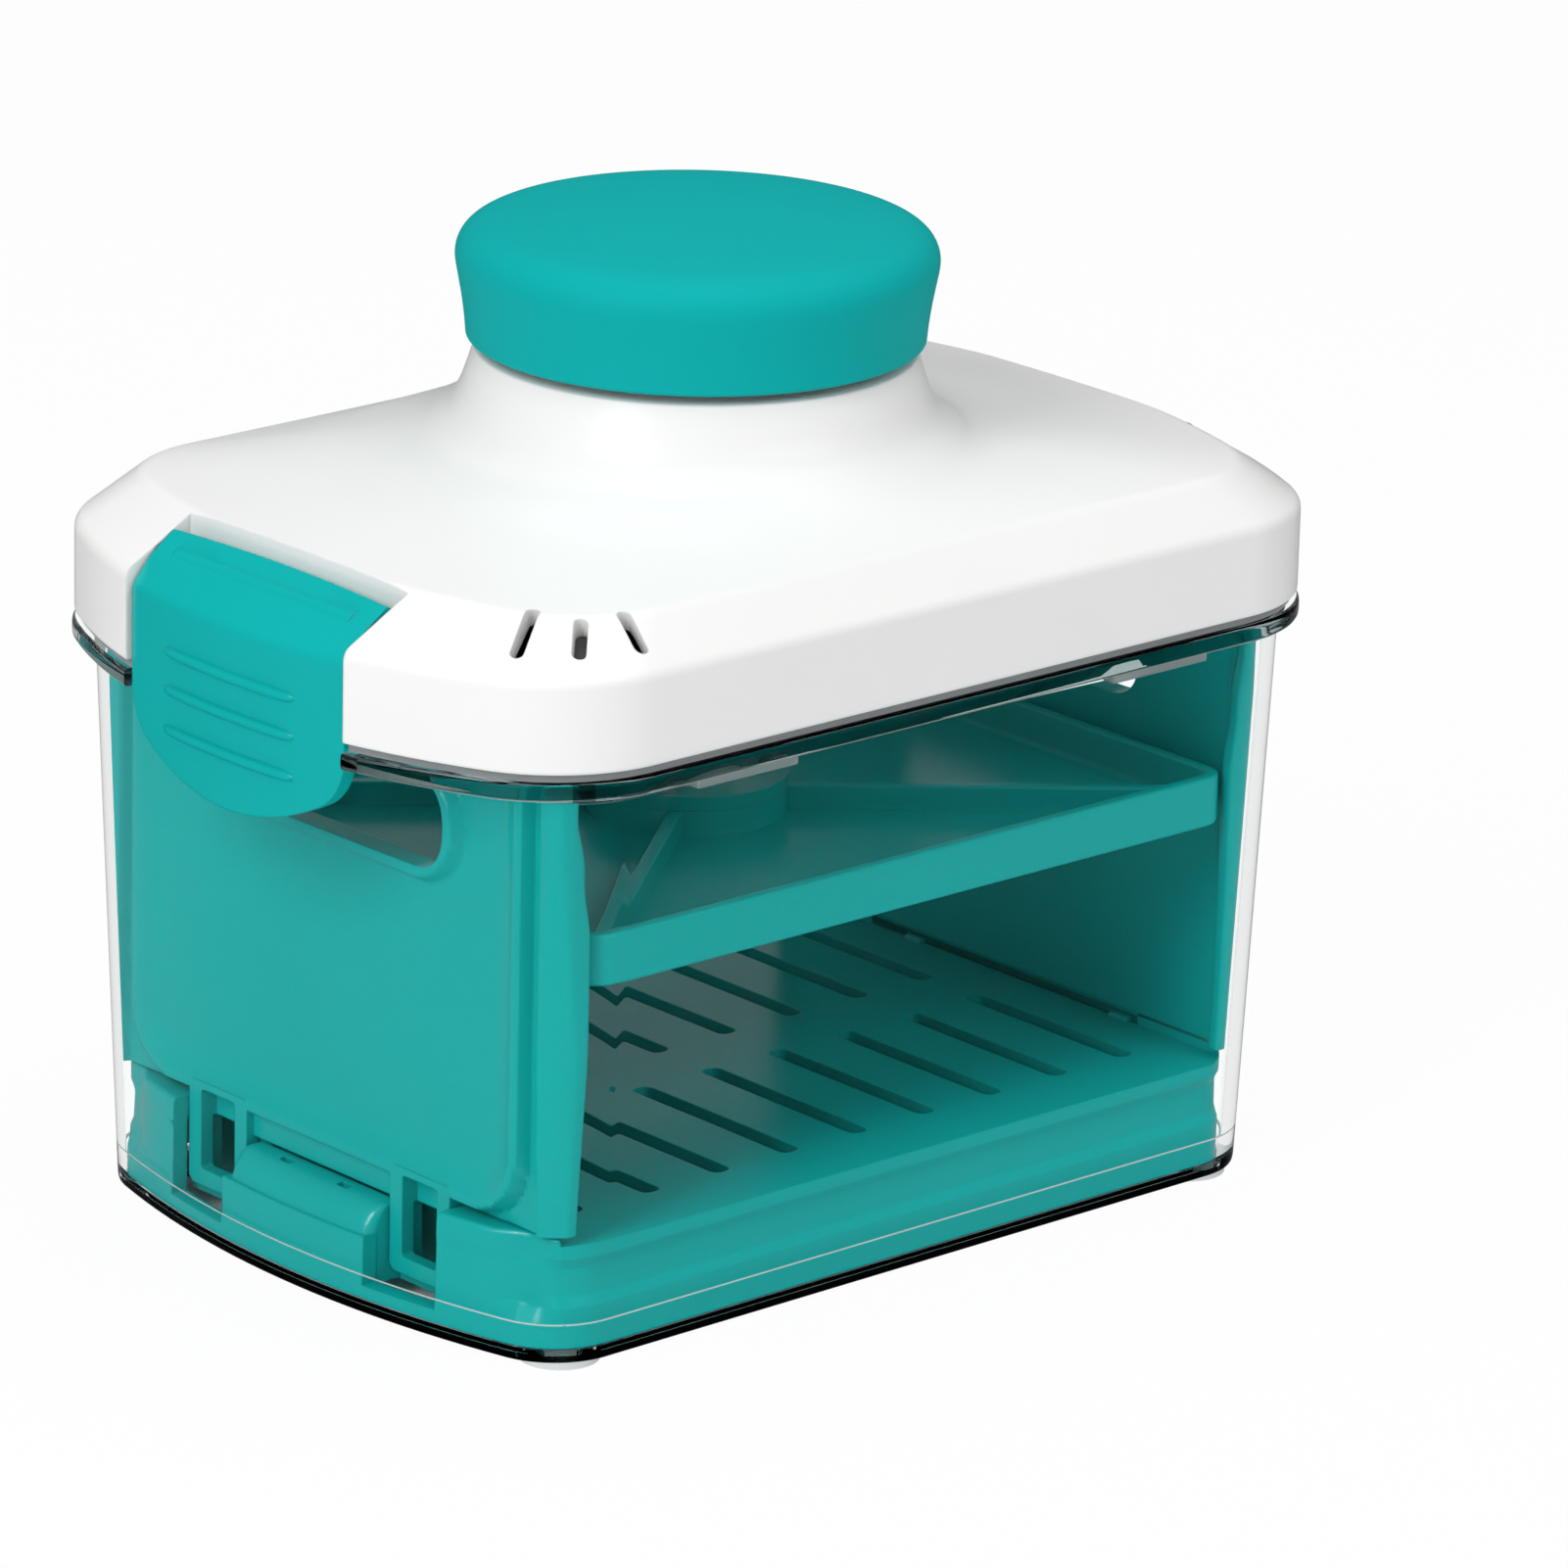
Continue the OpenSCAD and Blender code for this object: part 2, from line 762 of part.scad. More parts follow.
// Hub plate that carries the cap on the rod
module knob_hub() {
    color(white)
        difference() {
            union() {
                post(0, 0, hub_r, hub_bottom, hub_top);
                post(0, 0, hub_boss_r, hub_bottom, hub_boss_top);
            }
            difference() {
                post(0, 0, rod_top_r + fit, hub_bottom - 1, rod_top + fit);
                for (s = [-1, 1])
                    translate([s * (2 * rod_top_r - 1 + fit), 0, hub_bottom])
                        cube([2 * rod_top_r, 4 * rod_top_r, 4 * knob_h], center = true);
            }
            post(0, 0, rod_screw_r + 0.1, rod_top - 1, hub_boss_top + 1);
            for (a = [30 : 120 : 270])
                rotate([0, 0, a])
                    post(cap_post_at, 0, cap_screw_r + 0.1, hub_bottom - 1, hub_top + 1);
        }
}

module hub_screws() {
    color(steel)
        for (a = [30 : 120 : 270])
            rotate([0, 0, a])
                screw_up(cap_post_at, 0, cap_screw_r - fit, small_head_r, small_head_h,
                    hub_bottom, hub_t + cap_screw_len);
}

module rod_screw() {
    color(steel) {
        post(0, 0, rod_screw_r - fit, rod_top - rod_screw_len, hub_boss_top + fit);
        post(0, 0, rod_screw_head_r, hub_boss_top, hub_boss_top + rod_screw_head_h);
    }
}

// Lid: skirt, bevel and a top that rises to the collar, hollow inside
module lid_shell() {
    flat_top = top_outline();
    foot = circle_like(flat_top, flare_r);
    under = top_outline(-lid_t);
    under_foot = circle_like(flat_top, flare_r - 1);
    drop = lid_t;
    color(white)
        difference() {
            union() {
                closed_loft([
                    lift(lid_outline(0), lid_bottom),
                    lift(lid_outline(0), skirt_top - 0.7),
                    lift(lid_outline(-0.3), skirt_top),
                    lift(between(lid_outline(-0.3), flat_top, 0.93), skirt_top + bevel_h * 0.9),
                    lift(between(flat_top, foot, 0.05), bevel_top + 0.2),
                    lift(between(flat_top, foot, 0.5), bevel_top + flare_rise * 0.58),
                    lift(foot, flare_z),
                    lift(circle_like(flat_top, flare_r - 4), flare_z + 1.4),
                    lift(circle_like(flat_top, flare_r - 5), flare_z - 1),
                    lift(under_foot, flare_z - drop),
                    lift(between(under, under_foot, 0.5), bevel_top + flare_rise * 0.5 - drop),
                    lift(between(under, under_foot, 0.03), bevel_top - drop),
                    lift(lid_outline(-lid_t), skirt_top - 0.8),
                    lift(lid_outline(-lid_t), lid_bottom)
                ]);
                collar();
                both_ends()
                    pocket_wall();
                at_corners(screw_post_x, screw_post_y)
                    post(0, 0, screw_post_r, liner_bottom + liner_t, bevel_top);
            }
            both_ends() {
                sideways(pocket_y)
                    polygon(pocket_profile());
                pin_bore(pin_r + fit, pocket_y + side_t + 1);
            }
            drain_slots();
            at_corners(screw_post_x, screw_post_y)
                post(0, 0, screw_r, liner_bottom, liner_bottom + liner_t + screw_len + 1);
            for (a = [45 : 90 : 315])
                rotate([0, 0, a])
                    post(nut_screw_at, 0, nut_screw_r,
                        nut_flange_top - 1, nut_flange_top + nut_screw_len + 0.5);
        }
}

// collar with its concave flare and its flat top
module collar() {
    rise = collar_top - flare_z;
    out = [
        [flare_r - 1, flare_z + 0.3], [flare_r - 3.2, flare_z + 1.4], [collar_r + 3.4, flare_z + 3],
        [collar_r + 2, flare_z + 5], [collar_r + 1, flare_z + 7.4], [collar_r, collar_top - 0.6],
        [collar_r - 0.6, collar_top]
    ];
    rotate_extrude($fn = 120)
        polygon(concat(out, [
            [collar_hole_r, collar_top], [collar_hole_r, nut_flange_top],
            [collar_r - lid_t - 0.4, nut_flange_top], [collar_r - lid_t, flare_z + 5],
            [collar_r - lid_t + 1.6, flare_z + 2], [flare_r - 3.6, flare_z - 1.2]
        ]));
}

// side profile of the pocket that a latch lies in
function pocket_profile() = [
    [-lid_a - 5, box_top - 1], [-seat_x, box_top - 1], [-seat_x, bend_z - 3.6],
    [-pin_x + 3, bend_z - 0.4], [-pin_x + 4.7, bend_z + 2], [-pin_x + 4.7, bevel_top + 4],
    [-lid_a - 5, bevel_top + 4]
];

// wall around that pocket, closing the lid behind the latch
module pocket_wall() {
    back = seat_x - 2;
    sideways(pocket_y + side_t)
        polygon([
            [-seat_x - 1.9, lid_bottom], [-back, lid_bottom], [-back, bend_z - 4.8],
            [-pin_x + 4.3, bend_z - 2], [-pin_x + 6.8, bend_z + 1], [-pin_x + 6.8, bevel_top - 1.6],
            [-pin_x + 5.1, bevel_top - 1.6], [-seat_x - 1.9, skirt_top - 0.3]
        ]);
}

// bore along a latch's hinge line
module pin_bore(r, half) {
    translate([-pin_x, 0, pin_z])
        rotate([90, 0, 0])
            cylinder(r = r, h = 2 * half, center = true, $fn = 48);
}

// three slots that let the whey be poured off
module drain_slots() {
    corner = [-lid_a, -lid_b];
    r = lid_corner_r;
    start = [corner + r * [0.97, 0.69], corner + r * [1.1, 0.41], corner + r * [1.37, 0.33]];
    stop = [corner + r * [0.72, 0.54], corner + r * [0.98, 0.29], corner + r * [1.32, 0.18]];
    for (i = [0 : 2]) {
        d = stop[i] - start[i];
        translate([start[i].x, start[i].y, skirt_top - 1])
            rotate([0, 0, atan2(d.y, d.x)])
                linear_extrude(bevel_h + 4) {
                    translate([0, -drain_slot_w / 2])
                        square([norm(d), drain_slot_w]);
                    for (x = [0, norm(d)])
                        translate([x, 0])
                            circle(drain_slot_w / 2, $fn = 32);
                }
    }
}

// Inner cover that plugs into the mouth of the box
module lid_liner() {
    edge_x = seat_x - 2.2;
    color(white)
        difference() {
            union() {
                slab(box_outline(plug_in), liner_bottom, lid_bottom + liner_flange_t);
                intersection() {
                    slab(lid_outline(-lid_t - 0.2), lid_bottom, lid_bottom + liner_flange_t);
                    span([-edge_x, -lid_b, 0], [edge_x, lid_b, lid_bottom + 5]);
                }
            }
            slab(box_outline(plug_in - 2), liner_bottom + liner_t, lid_bottom + 5);
            post(0, 0, rod_r + 1.5, liner_bottom - 1, lid_bottom + 5);
            at_corners(screw_post_x, screw_post_y)
                post(0, 0, screw_r + 0.1, liner_bottom - 1, lid_bottom + 5);
        }
}

// Flat gasket between the lid and the flange
module lid_seal() {
    color(grey)
        difference() {
            slab(lid_outline(-seal_inset), box_top, lid_bottom);
            slab(box_outline(mouth_in + 0.3), box_top - 1, lid_bottom + 1);
            both_ends()
                span([-lid_a - 5, -pocket_y, box_top - 1],
                    [-seat_x + 0.1, pocket_y, lid_bottom + 1]);
        }
}

module lid_screws() {
    color(steel)
        at_corners(screw_post_x, screw_post_y)
            screw_up(0, 0, screw_r - fit, screw_head_r, screw_head_h, liner_bottom, liner_t + screw_len);
}

// Nut fixed under the collar top
module screw_nut() {
    color(white)
        difference() {
            union() {
                post(0, 0, nut_flange_r, nut_flange_top - nut_flange_t, nut_flange_top);
                post(0, 0, nut_r, nut_flange_top - nut_flange_t - nut_drop, collar_top);
            }
            post(0, 0, rod_r + rod_play, nut_flange_top - nut_flange_t - nut_drop - 1, collar_top + 1);
            for (a = [45 : 90 : 315])
                rotate([0, 0, a])
                    post(nut_screw_at, 0, nut_screw_r + 0.1,
                        nut_flange_top - nut_flange_t - 1, nut_flange_top + 1);
        }
}

module nut_screws() {
    color(steel)
        for (a = [45 : 90 : 315])
            rotate([0, 0, a])
                screw_up(nut_screw_at, 0, nut_screw_r - fit, small_head_r, small_head_h,
                    nut_flange_top - nut_flange_t, nut_flange_t + nut_screw_len);
}

// face of a latch, from the middle, at width y
function latch_face(y) = latch_x - latch_bow * pow(2 * y / latch_w, 2);

// points of a latch face and its inner skin, row by row up the latch
module latch_sheet() {
    steps = 12;
    rows = [
        [latch_z - 2, 0], [bend_z - 0.8, 0], [bend_z + 0.2, 0.35],
        [bend_z + 1.4, 1.4], [latch_top_z - 0.5, latch_x - latch_top_x - 0.6],
        [latch_top_z, latch_x - latch_top_x + 0.6]
    ];
    inner = [
        [latch_z - 2, latch_t], [bend_z - 1.4, latch_t], [bend_z - 0.6, latch_t + 0.2],
        [bend_z, latch_t + 0.8], [latch_top_z - 1.9, latch_x - latch_top_x + 1.1],
        [latch_top_z - 0.6, latch_x - latch_top_x + 2]
    ];
    ring = concat(rows, [for (i = [5 : -1 : 0]) inner[i]]);
    sections = [for (k = [0 : steps])
        let (y = (latch_w / 2 + 1) * (2 * k / steps - 1))
        [for (p = ring) [-latch_face(y) + p[1], y, p[0]]]];
    loft(sections);
}

// front outline of a latch, drawn in Y and Z
module latch_front() {
    half = latch_w / 2;
    r = latch_corner_r;
    corner_z = latch_z + latch_bottom_r
        - sqrt(pow(latch_bottom_r - r, 2) - pow(half - r, 2));
    a = asin((half - r) / (latch_bottom_r - r));
    polygon(concat(
        [[half, bevel_top + 5], [-half, bevel_top + 5]],
        [for (i = [0 : 8]) let (u = 180 + (90 - a) * i / 8)
            [-half + r + r * cos(u), corner_z + r * sin(u)]],
        [for (i = [1 : 15]) let (u = 270 - a + 2 * a * i / 16)
            [latch_bottom_r * cos(u), latch_z + latch_bottom_r + latch_bottom_r * sin(u)]],
        [for (i = [0 : 8]) let (u = 270 + a + (90 - a) * i / 8)
            [half - r + r * cos(u), corner_z + r * sin(u)]]
    ));
}

// One latch, drawn for the left end
module latch() {
    catch_top = flange_bottom - catch_gap;
    rib_z = [latch_z + 7.3, latch_z + 12.7, latch_z + 17.8];
    color(teal)
        difference() {
            union() {
                intersection() {
                    latch_sheet();
                    upright(-latch_x - 5, -pin_x + 8)
                        latch_front();
                }
                intersection() {
                    pin_bore(knuckle_r, latch_w / 2 - 0.6);
                    span([-lid_a, -lid_b, 0], [0, lid_b, latch_top_z]);
                }
                sideways(latch_w / 2 - 3)
                    polygon([
                        [-pin_x, pin_z - knuckle_r + 0.2], [-pin_x - 1.2, pin_z + 1],
                        [-latch_face(latch_w / 2) + latch_t - 0.6, bend_z + 0.6],
                        [-latch_face(latch_w / 2) + latch_t - 0.6, bend_z - 1.6]
                    ]);
                sideways(catch_w / 2)
                    polygon([
                        [-latch_face(catch_w / 2) + latch_t - 0.8, catch_top],
                        [-catch_x, catch_top],
                        [-catch_x - 0.3, catch_top - 1.6],
                        [-latch_face(catch_w / 2) + latch_t - 0.8, catch_top - 4.6]
                    ]);
                for (z = rib_z)
                    grip_rib(z);
            }
            pin_bore(pin_r + pin_play, latch_w);
        }
}

// raised rib across the latch face
module grip_rib(z) {
    steps = 8;
    y = [for (i = [0 : steps]) rib_half_y * (2 * i / steps - 1)];
    translate([0, 0, z - 0.7])
        linear_extrude(1.4)
            polygon(concat(
                [for (v = y) [-latch_face(v) - 0.6 + 0.5 * pow(v / rib_half_y, 8), v]],
                [for (i = [steps : -1 : 0]) [-latch_face(y[i]) + 0.5, y[i]]]
            ));
}

module latch_left() {
    latch();
}

module latch_right() {
    mirror([1, 0, 0])
        latch();
}

module latch_pin_left() {
    color(steel)
        pin_bore(pin_r, pocket_y + side_t - 0.2);
}

module latch_pin_right() {
    color(steel)
        mirror([1, 0, 0])
            pin_bore(pin_r, pocket_y + side_t - 0.2);
}

container();
feet();
drain_tray();
end_wall_left();
end_wall_right();
press_plate();
rod_retainer();
retainer_screws();
press_rod();
knob_cap();
knob_hub();
hub_screws();
rod_screw();
lid_shell();
lid_liner();
lid_seal();
lid_screws();
screw_nut();
nut_screws();
latch_left();
latch_right();
latch_pin_left();
latch_pin_right();
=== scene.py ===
import math

import bmesh
import bpy
from mathutils import Matrix, Vector


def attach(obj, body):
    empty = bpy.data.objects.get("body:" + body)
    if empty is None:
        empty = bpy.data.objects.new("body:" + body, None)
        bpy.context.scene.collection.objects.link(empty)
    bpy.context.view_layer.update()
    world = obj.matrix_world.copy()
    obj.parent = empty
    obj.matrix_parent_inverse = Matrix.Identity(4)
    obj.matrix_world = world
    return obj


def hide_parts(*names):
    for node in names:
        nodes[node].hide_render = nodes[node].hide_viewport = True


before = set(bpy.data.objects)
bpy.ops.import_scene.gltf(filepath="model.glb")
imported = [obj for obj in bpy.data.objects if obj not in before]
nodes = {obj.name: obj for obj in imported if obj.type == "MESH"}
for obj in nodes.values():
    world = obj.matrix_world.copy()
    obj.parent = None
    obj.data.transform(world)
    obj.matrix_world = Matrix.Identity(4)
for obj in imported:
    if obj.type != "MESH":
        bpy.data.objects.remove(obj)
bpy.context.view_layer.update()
MM = 0.001

# Camera: angles in radians, distances in metres, lens and sensor in mm
CAM_AZ, CAM_EL, CAM_ROLL = -0.724, 0.311, 0.021
CAM_DIST, CAM_TARGET = 1.25086, Vector((0, 0, 0.0612))
CAM_SENSOR, CAM_LENS = 36, 215.885
CAM_SHIFT_X, CAM_SHIFT_Y = 0.0615, -0.0265
CAM_NEAR, CAM_FAR = 0.05, 20

# Outlines in mm: half length, half width, bulge of the ends and corner radius
BOX = 69.15, 47.45, 7.6, 10.8
LID = 80.0, 52.85, 16.3, 20.5
TOP = 68.3, 47.25, 10.0, 15.5
BOX_A, BOX_B = BOX[:2]
LID_A, LID_B = LID[:2]
END_STEPS, CORNER_STEPS, SIDE_STEPS = 12, 30, 26
NEAR_CORNER = 0.6
CAP_D = -9
CORNERS = [(sx, sy) for sx in (-1, 1) for sy in (-1, 1)]

# Edges that turn by more than these degrees stay sharp
SHARP, CAD_SHARP, WALL_SHARP, ROUND_SHARP = 32, 34, 40, 50

# Box: FLARE is how far its wall leans out up to its top
FLARE, WALL_T = 3.2, 1.8
BOX_BOTTOM, FLOOR_UNDER, FLOOR_TOP = 1.2, 2.0, 3.4
FLANGE_BOTTOM, BOX_TOP, FLANGE_OUT = 78.3, 80.7, 0.3
MOUTH = [(1.9, BOX_TOP), (1.8, 77.7), (1.25, 77.4)]
RIM_W, BAND_TOP = 2.0, 2.35
GROOVE_Z, GROOVE_D = 2.6, -3.05
STEP_Z, STEP_TOP, STEP_W = 6.0, 6.25, 0.3
NOTCH_X = 73.8
LEDGE_X, LEDGE_HALF, LEDGE_DROP, LEDGE_IN, LEDGE_OUT = 36, 8.5, 1.2, 1.2, 1.9
FOOT_X, FOOT_Y, BOSS_R = 55.75, 40.65, 5.3
SPIGOT_R, SPIGOT_TOP = 2.55, 2.65

# Lid: DECK has height over the bevel and share of the way to the collar, COLLAR and INSIDE radius and height
LID_BOTTOM, SKIRT_TOP, BEVEL_TOP, LID_T = 81.8, 93.9, 100.1, 2.2
DECK = [(-0.35, -0.02), (0.2, 0.08), (2.1, 0.5), (3.4, 0.8)]
COLLAR_FOOT_R, COLLAR_TOP, NUT_ROOF, NUT_R = 38.0, 116.1, 112.1, 11.1
COLLAR = [(37.4, 104.9), (34.6, 106.5), (32.5, 108.1), (31.2, 110.1), (30.3, 112.5), (29.5, 115.0)]
INSIDE = [(29.25, 115.9), (28.6, COLLAR_TOP), (20, COLLAR_TOP), (NUT_R, COLLAR_TOP), (NUT_R, NUT_ROOF),
          (26.6, NUT_ROOF), (27.0, 110.1), (29, 106.6), (34.4, 103.9)]
POST_X, POST_Y, POST_R, POST_BOTTOM, POST_TOP = 46.5, 32.85, 4, 80.75, 99.3
LID_BORE_R, LID_BORE_TOP = 1.5, 90
SEAT_X, WALL_OUT, POCKET_Y, POCKET_T = 73.6, 75.5, 22.1, 2.2
PIN_X, PIN_Z, PIN_R, PIN_HALF = 71.6, 95.3, 1.3, 23
SLOTS = [((19.9, 14.2), (14.7, 11.1)), ((22.6, 8.4), (20.1, 6.0)), ((28.1, 6.8), (27.1, 3.7))]
SLOT_R, SLOT_START, SLOT_MORE, SLOT_LEAN = 0.92, 0.4, 2.0, 3.4

# Knob: KNOB_LIP has growth from the lip radius, KNOB_SIDE inset from KNOB_R, both with height over the lip
KNOB_BOTTOM, KNOB_TOP, KNOB_LIP_R, KNOB_R, KNOB_T = 117.3, 134.3, 30.3, 31.8, 2.2
KNOB_LIP = [(-0.55, 0), (-0.05, 0.35), (0.05, 1.0), (0.2, 2.6), (0.55, 5.2)]
KNOB_SIDE = [(0.45, 8.0), (0.08, 10.0), (0, 11.2), (0.25, 12.4), (0.95, 13.6), (2.2, 14.6), (4.2, 15.35),
             (8, 15.95), (14, 16.5), (21, 16.85), (27, 16.98)]
KNOB_POST_R, KNOB_POST_AT, KNOB_POST_Z = 3.2, 20, 120.9

# Latches
BEND_Z = 92.1
LATCH_X, LATCH_W, LATCH_Z, LATCH_T, LATCH_BOW = 78.3, 43.2, 67.7, 2.0, 1.7
LATCH_TOP_X, LATCH_TOP_Z, CROWN_X, CROWN_Z = 69.8, 98.45, 1.1, 0.15
LATCH_CORNER_R, LATCH_LIP_R = 8.0, 36.0
RIB_ZS, RIB_MID, RIB_HALF, RIB_W, RIB_H = (7.3, 12.7, 17.8), 0.4, 13.3, 0.75, 0.72
KNUCKLE_HALF, KNUCKLE_R = 18.0, 1.75
CATCH_X, CATCH_HALF = 72.8, 12

# End walls
END_TOP, END_BOTTOM, END_B = 77.55, 18.0, 45.7
END_GAP = 0.55
PANEL_X, PANEL_IN = 60.3, 58.6
BORDER_X, BORDER_HALF, BORDER_LOW, BORDER_R, BORDER_W = 62.0, 38.2, 19.6, 8.0, 0.7
SWELL_W, SWELL_H, RAISED_W, RAISED_H = 5.0, 1.6, 1.3, 1.8
COLUMN_X, COLUMN_Y, COLUMN_END, COLUMN_R = 61.6, 41.4, 43.4, 2.3
GRIP_HALF, GRIP_LOW, GRIP_TOP, GRIP_R, GRIP_ROUND = 24.3, 62, 74.2, 5.95, 6
WING_X, WING_TIP, TIP_R = 58.0, 56.4, 0.7
WALL_YS = [i * 0.6 for i in range(68)] + [41.0 + 0.25 * i for i in range(1, 19)]
WALL_ROWS = 112
LOOP_X, LOOP_IN, LOOP_Y, LOOP_W, LOOP_BOTTOM, LOOP_TOP = 62.0, 60.0, 20.65, 11.9, 5.9, 20.4
WINDOW_W, WINDOW_BOTTOM, WINDOW_TOP = 7.0, 8.2, 19.4
APRON_X, APRON_IN, APRON_HALF, APRON_BOTTOM, APRON_TOP = 60.75, 58.65, 26.6, 15.3, 19

# Tray: TRAY_LIP and TRAY_SIDE have height, offset along the sides and offset at the ends
DECK_Z, DECK_T, DECK_X, BLOCK_TOP = 16.6, 2.0, 58.3, 17.7
LIP_Z = GROOVE_Z + 0.1
TRAY_LIP = [(LIP_Z, -2.9, -2.9), (LIP_Z, -2.25, -2.25), (6.0, -2.35, -2.35)]
TRAY_SIDE = [(8.2, -2.3, -2.3), (9.6, -2.95, -2.35), (13.4, -3.15, -2.4), (14.8, -2.35, -2.35),
             (BLOCK_TOP, -2.3, -2.4)]
TRAY_BOTTOM, CORNER_IN, HOLLOW_D = 3.6, 2.2, -4.6
PAST_END, OVER_TRAY = 75, 30
END_CUT_HALF, END_CUT_Z = 26.9, 11.0
UNDER_IN, UNDER_OUT, UNDER_Y = 53.0, 54.4, 34
CHEEK_OUT, CHEEK_IN = 59.7, 57.7
LUG_OUT, LUG_IN, LUG_NEAR, LUG_FAR, LUG_BOTTOM, LUG_TOP = 60.2, 57.4, 1.3, 4.7, 12.9, 17.2
DRAIN_COUNT, DRAIN_PITCH, DRAIN_Y, DRAIN_HALF, DRAIN_W = 9, 12.075, 19.9, 15.5, 3.0
HUMP_TOP, HUMP_LOW, HUMP_FOOT, HUMP_D, HUMP_R = 14.9, 6.2, 4.0, -2.45, 1.9
HUMP_X, HUMP_FLAT, HUMP_TURN = 59.8, 60.6, 61.6
SLIT_Y, SLIT_HALF, SLIT_X, SLIT_Z = 5.9, 1.1, 62.7, 13.4

# Plate and rod
PLATE_A, PLATE_B, PLATE_Z, PLATE_H, PLATE_T = 55.9, 45.4, 51.0, 6.9, 1.8
RIB_TOP, RIB_SHARE, BOSS_TOP, PLATE_BOSS_R, SEAT_R = 4.9, 0.985, 56.0, 13.0, 8.05
PLATE_BORE_AT, PLATE_BORE_R, PLATE_BORE_Z = 10.5, 1.0, 52.0
ROD_R, ROOT_R, LEAD, THREAD_LOW, THREAD_TOP, THREAD_STEP = 6.0, 5.25, 4.5, 56.4, 117.6, 0.28
ROD_STEPS = 72
ROD_FOOT = [(7.6, 52.9), (8.0, 53.25), (8.0, 55.6), (7.6, 55.9), (ROD_R, 55.9)]
NECK_R, NECK_Z, NECK_TOP = 5.6, 118.0, 118.45
FLATTED_R, FLATTED_TOP, FLAT_X, ROD_BORE_R = 5, 127.1, 4.0, 1.4

# Materials and light
CLEAR_IOR = 1.47
HAZE, WAVE, WAVE_DEPTH, GRAIN_DEPTH = 0.04, 0.04, 0.00016, 0.00006
BOX_SHADE_X, BOX_SHADE_Y, FLOOR_WHITE = 0.068, 0.048, 0.95
SEEN, FILL, DIM = 1.0, 0.42, 0.03
LAMPS = [
    ("top", (0.05, -0.1, 1.1), (0.9, 0.9), 4.9),
    ("front", (0.25, -1.1, 0.8), (0.7, 0.4), 2.5),
    ("left", (-1.1, -0.25, 0.75), (0.4, 0.7), 7.6),
]
LAMP_TARGET = Vector((0, 0, 0.07))


def make_camera():
    back = Vector((math.sin(CAM_AZ) * math.cos(CAM_EL), -math.cos(CAM_AZ) * math.cos(CAM_EL),
                   math.sin(CAM_EL)))
    level = (-back).cross(Vector((0, 0, 1))).normalized()
    upright = level.cross(-back)
    right = math.cos(CAM_ROLL) * level + math.sin(CAM_ROLL) * upright
    up = math.cos(CAM_ROLL) * upright - math.sin(CAM_ROLL) * level
    data = bpy.data.cameras.new("camera")
    data.sensor_width = CAM_SENSOR
    data.lens = CAM_LENS
    data.shift_x = CAM_SHIFT_X
    data.shift_y = CAM_SHIFT_Y
    data.clip_start = CAM_NEAR
    data.clip_end = CAM_FAR
    m = Matrix((right, up, back)).transposed().to_4x4()
    m.translation = CAM_TARGET + back * CAM_DIST
    camera = link("camera", data)
    camera.matrix_world = m
    bpy.context.scene.camera = camera


# Outlines
def bow_radius(bow, half):
    return (bow * bow + half * half) / (2 * bow)


def corner(a, b, bow, r, d=0.0):
    """Bow radius, corner radius, corner centre and bow angle of an outline grown by d."""
    re, rc = bow_radius(bow, b) + d, r + d
    yc = b + d - rc
    t = math.asin(yc / (re - rc))
    return re, rc, a + d - re + (re - rc) * math.cos(t), yc, t


def ring(a, b, bow, r, d=0.0):
    """Closed outline with bowed ends and round corners, grown by d, always the same count of points."""
    re, rc, xc, yc, t = corner(a, b, bow, r, d)
    middle = a + d - re
    quarter = []
    for i in range(END_STEPS):
        w = t * i / END_STEPS
        quarter.append((middle + re * math.cos(w), re * math.sin(w)))
    for i in range(CORNER_STEPS + 1):
        w = t + (math.pi / 2 - t) * i / CORNER_STEPS
        quarter.append((xc + rc * math.cos(w), yc + rc * math.sin(w)))
    near = NEAR_CORNER / quarter[-1][0]
    shares = [1 - near] + [1 - 2 * i / SIDE_STEPS for i in range(1, SIDE_STEPS)] + [near - 1]
    side = [(quarter[-1][0] * share, b + d) for share in shares]
    half = quarter + side + [(-x, y) for x, y in reversed(quarter)]
    return half + [(-x, -y) for x, y in half[1:-1]]


def lift(points, z):
    return [Vector((x, y, z)) for x, y in points]


def box_ring(d, z):
    return lift(ring(*BOX, d), z)


def lid_ring(d, z):
    return lift(ring(*LID, d), z)


def top_ring(d, z):
    return lift(ring(*TOP, d), z)


def circle_ring(r, z):
    """Circle with one point for each point of the lid's top outline."""
    angles = [math.atan2(y, x) for x, y in ring(*TOP)]
    return [Vector((r * math.cos(w), r * math.sin(w), z)) for w in angles]


def box_reach(y, d):
    """How far the box outline, grown by d, reaches along X at width y."""
    re, rc, xc, yc, t = corner(*BOX, d)
    if y <= re * math.sin(t):
        return BOX_A + d - re + math.sqrt(re * re - y * y)
    return xc + math.sqrt(max(0.0, rc * rc - (y - yc) ** 2))


def box_width(x, d):
    """Width of the box outline, grown by d, where its corner passes x."""
    _, rc, xc, yc, _ = corner(*BOX, d)
    return yc + math.sqrt(max(0.0, rc * rc - (x - xc) ** 2))


def box_outside(x, y):
    """Rough distance of a point outside the box outline at its foot."""
    return max(abs(y) - BOX_B, abs(x) - box_reach(min(abs(y), BOX_B - 0.01), 0.0))


def flare_at(z):
    return FLARE * (z - BOX_BOTTOM) / (BOX_TOP - BOX_BOTTOM)


def step(x, a, b):
    """Smooth step from 0 at a to 1 at b."""
    t = min(1.0, max(0.0, (x - a) / (b - a)))
    return t * t * (3 - 2 * t)


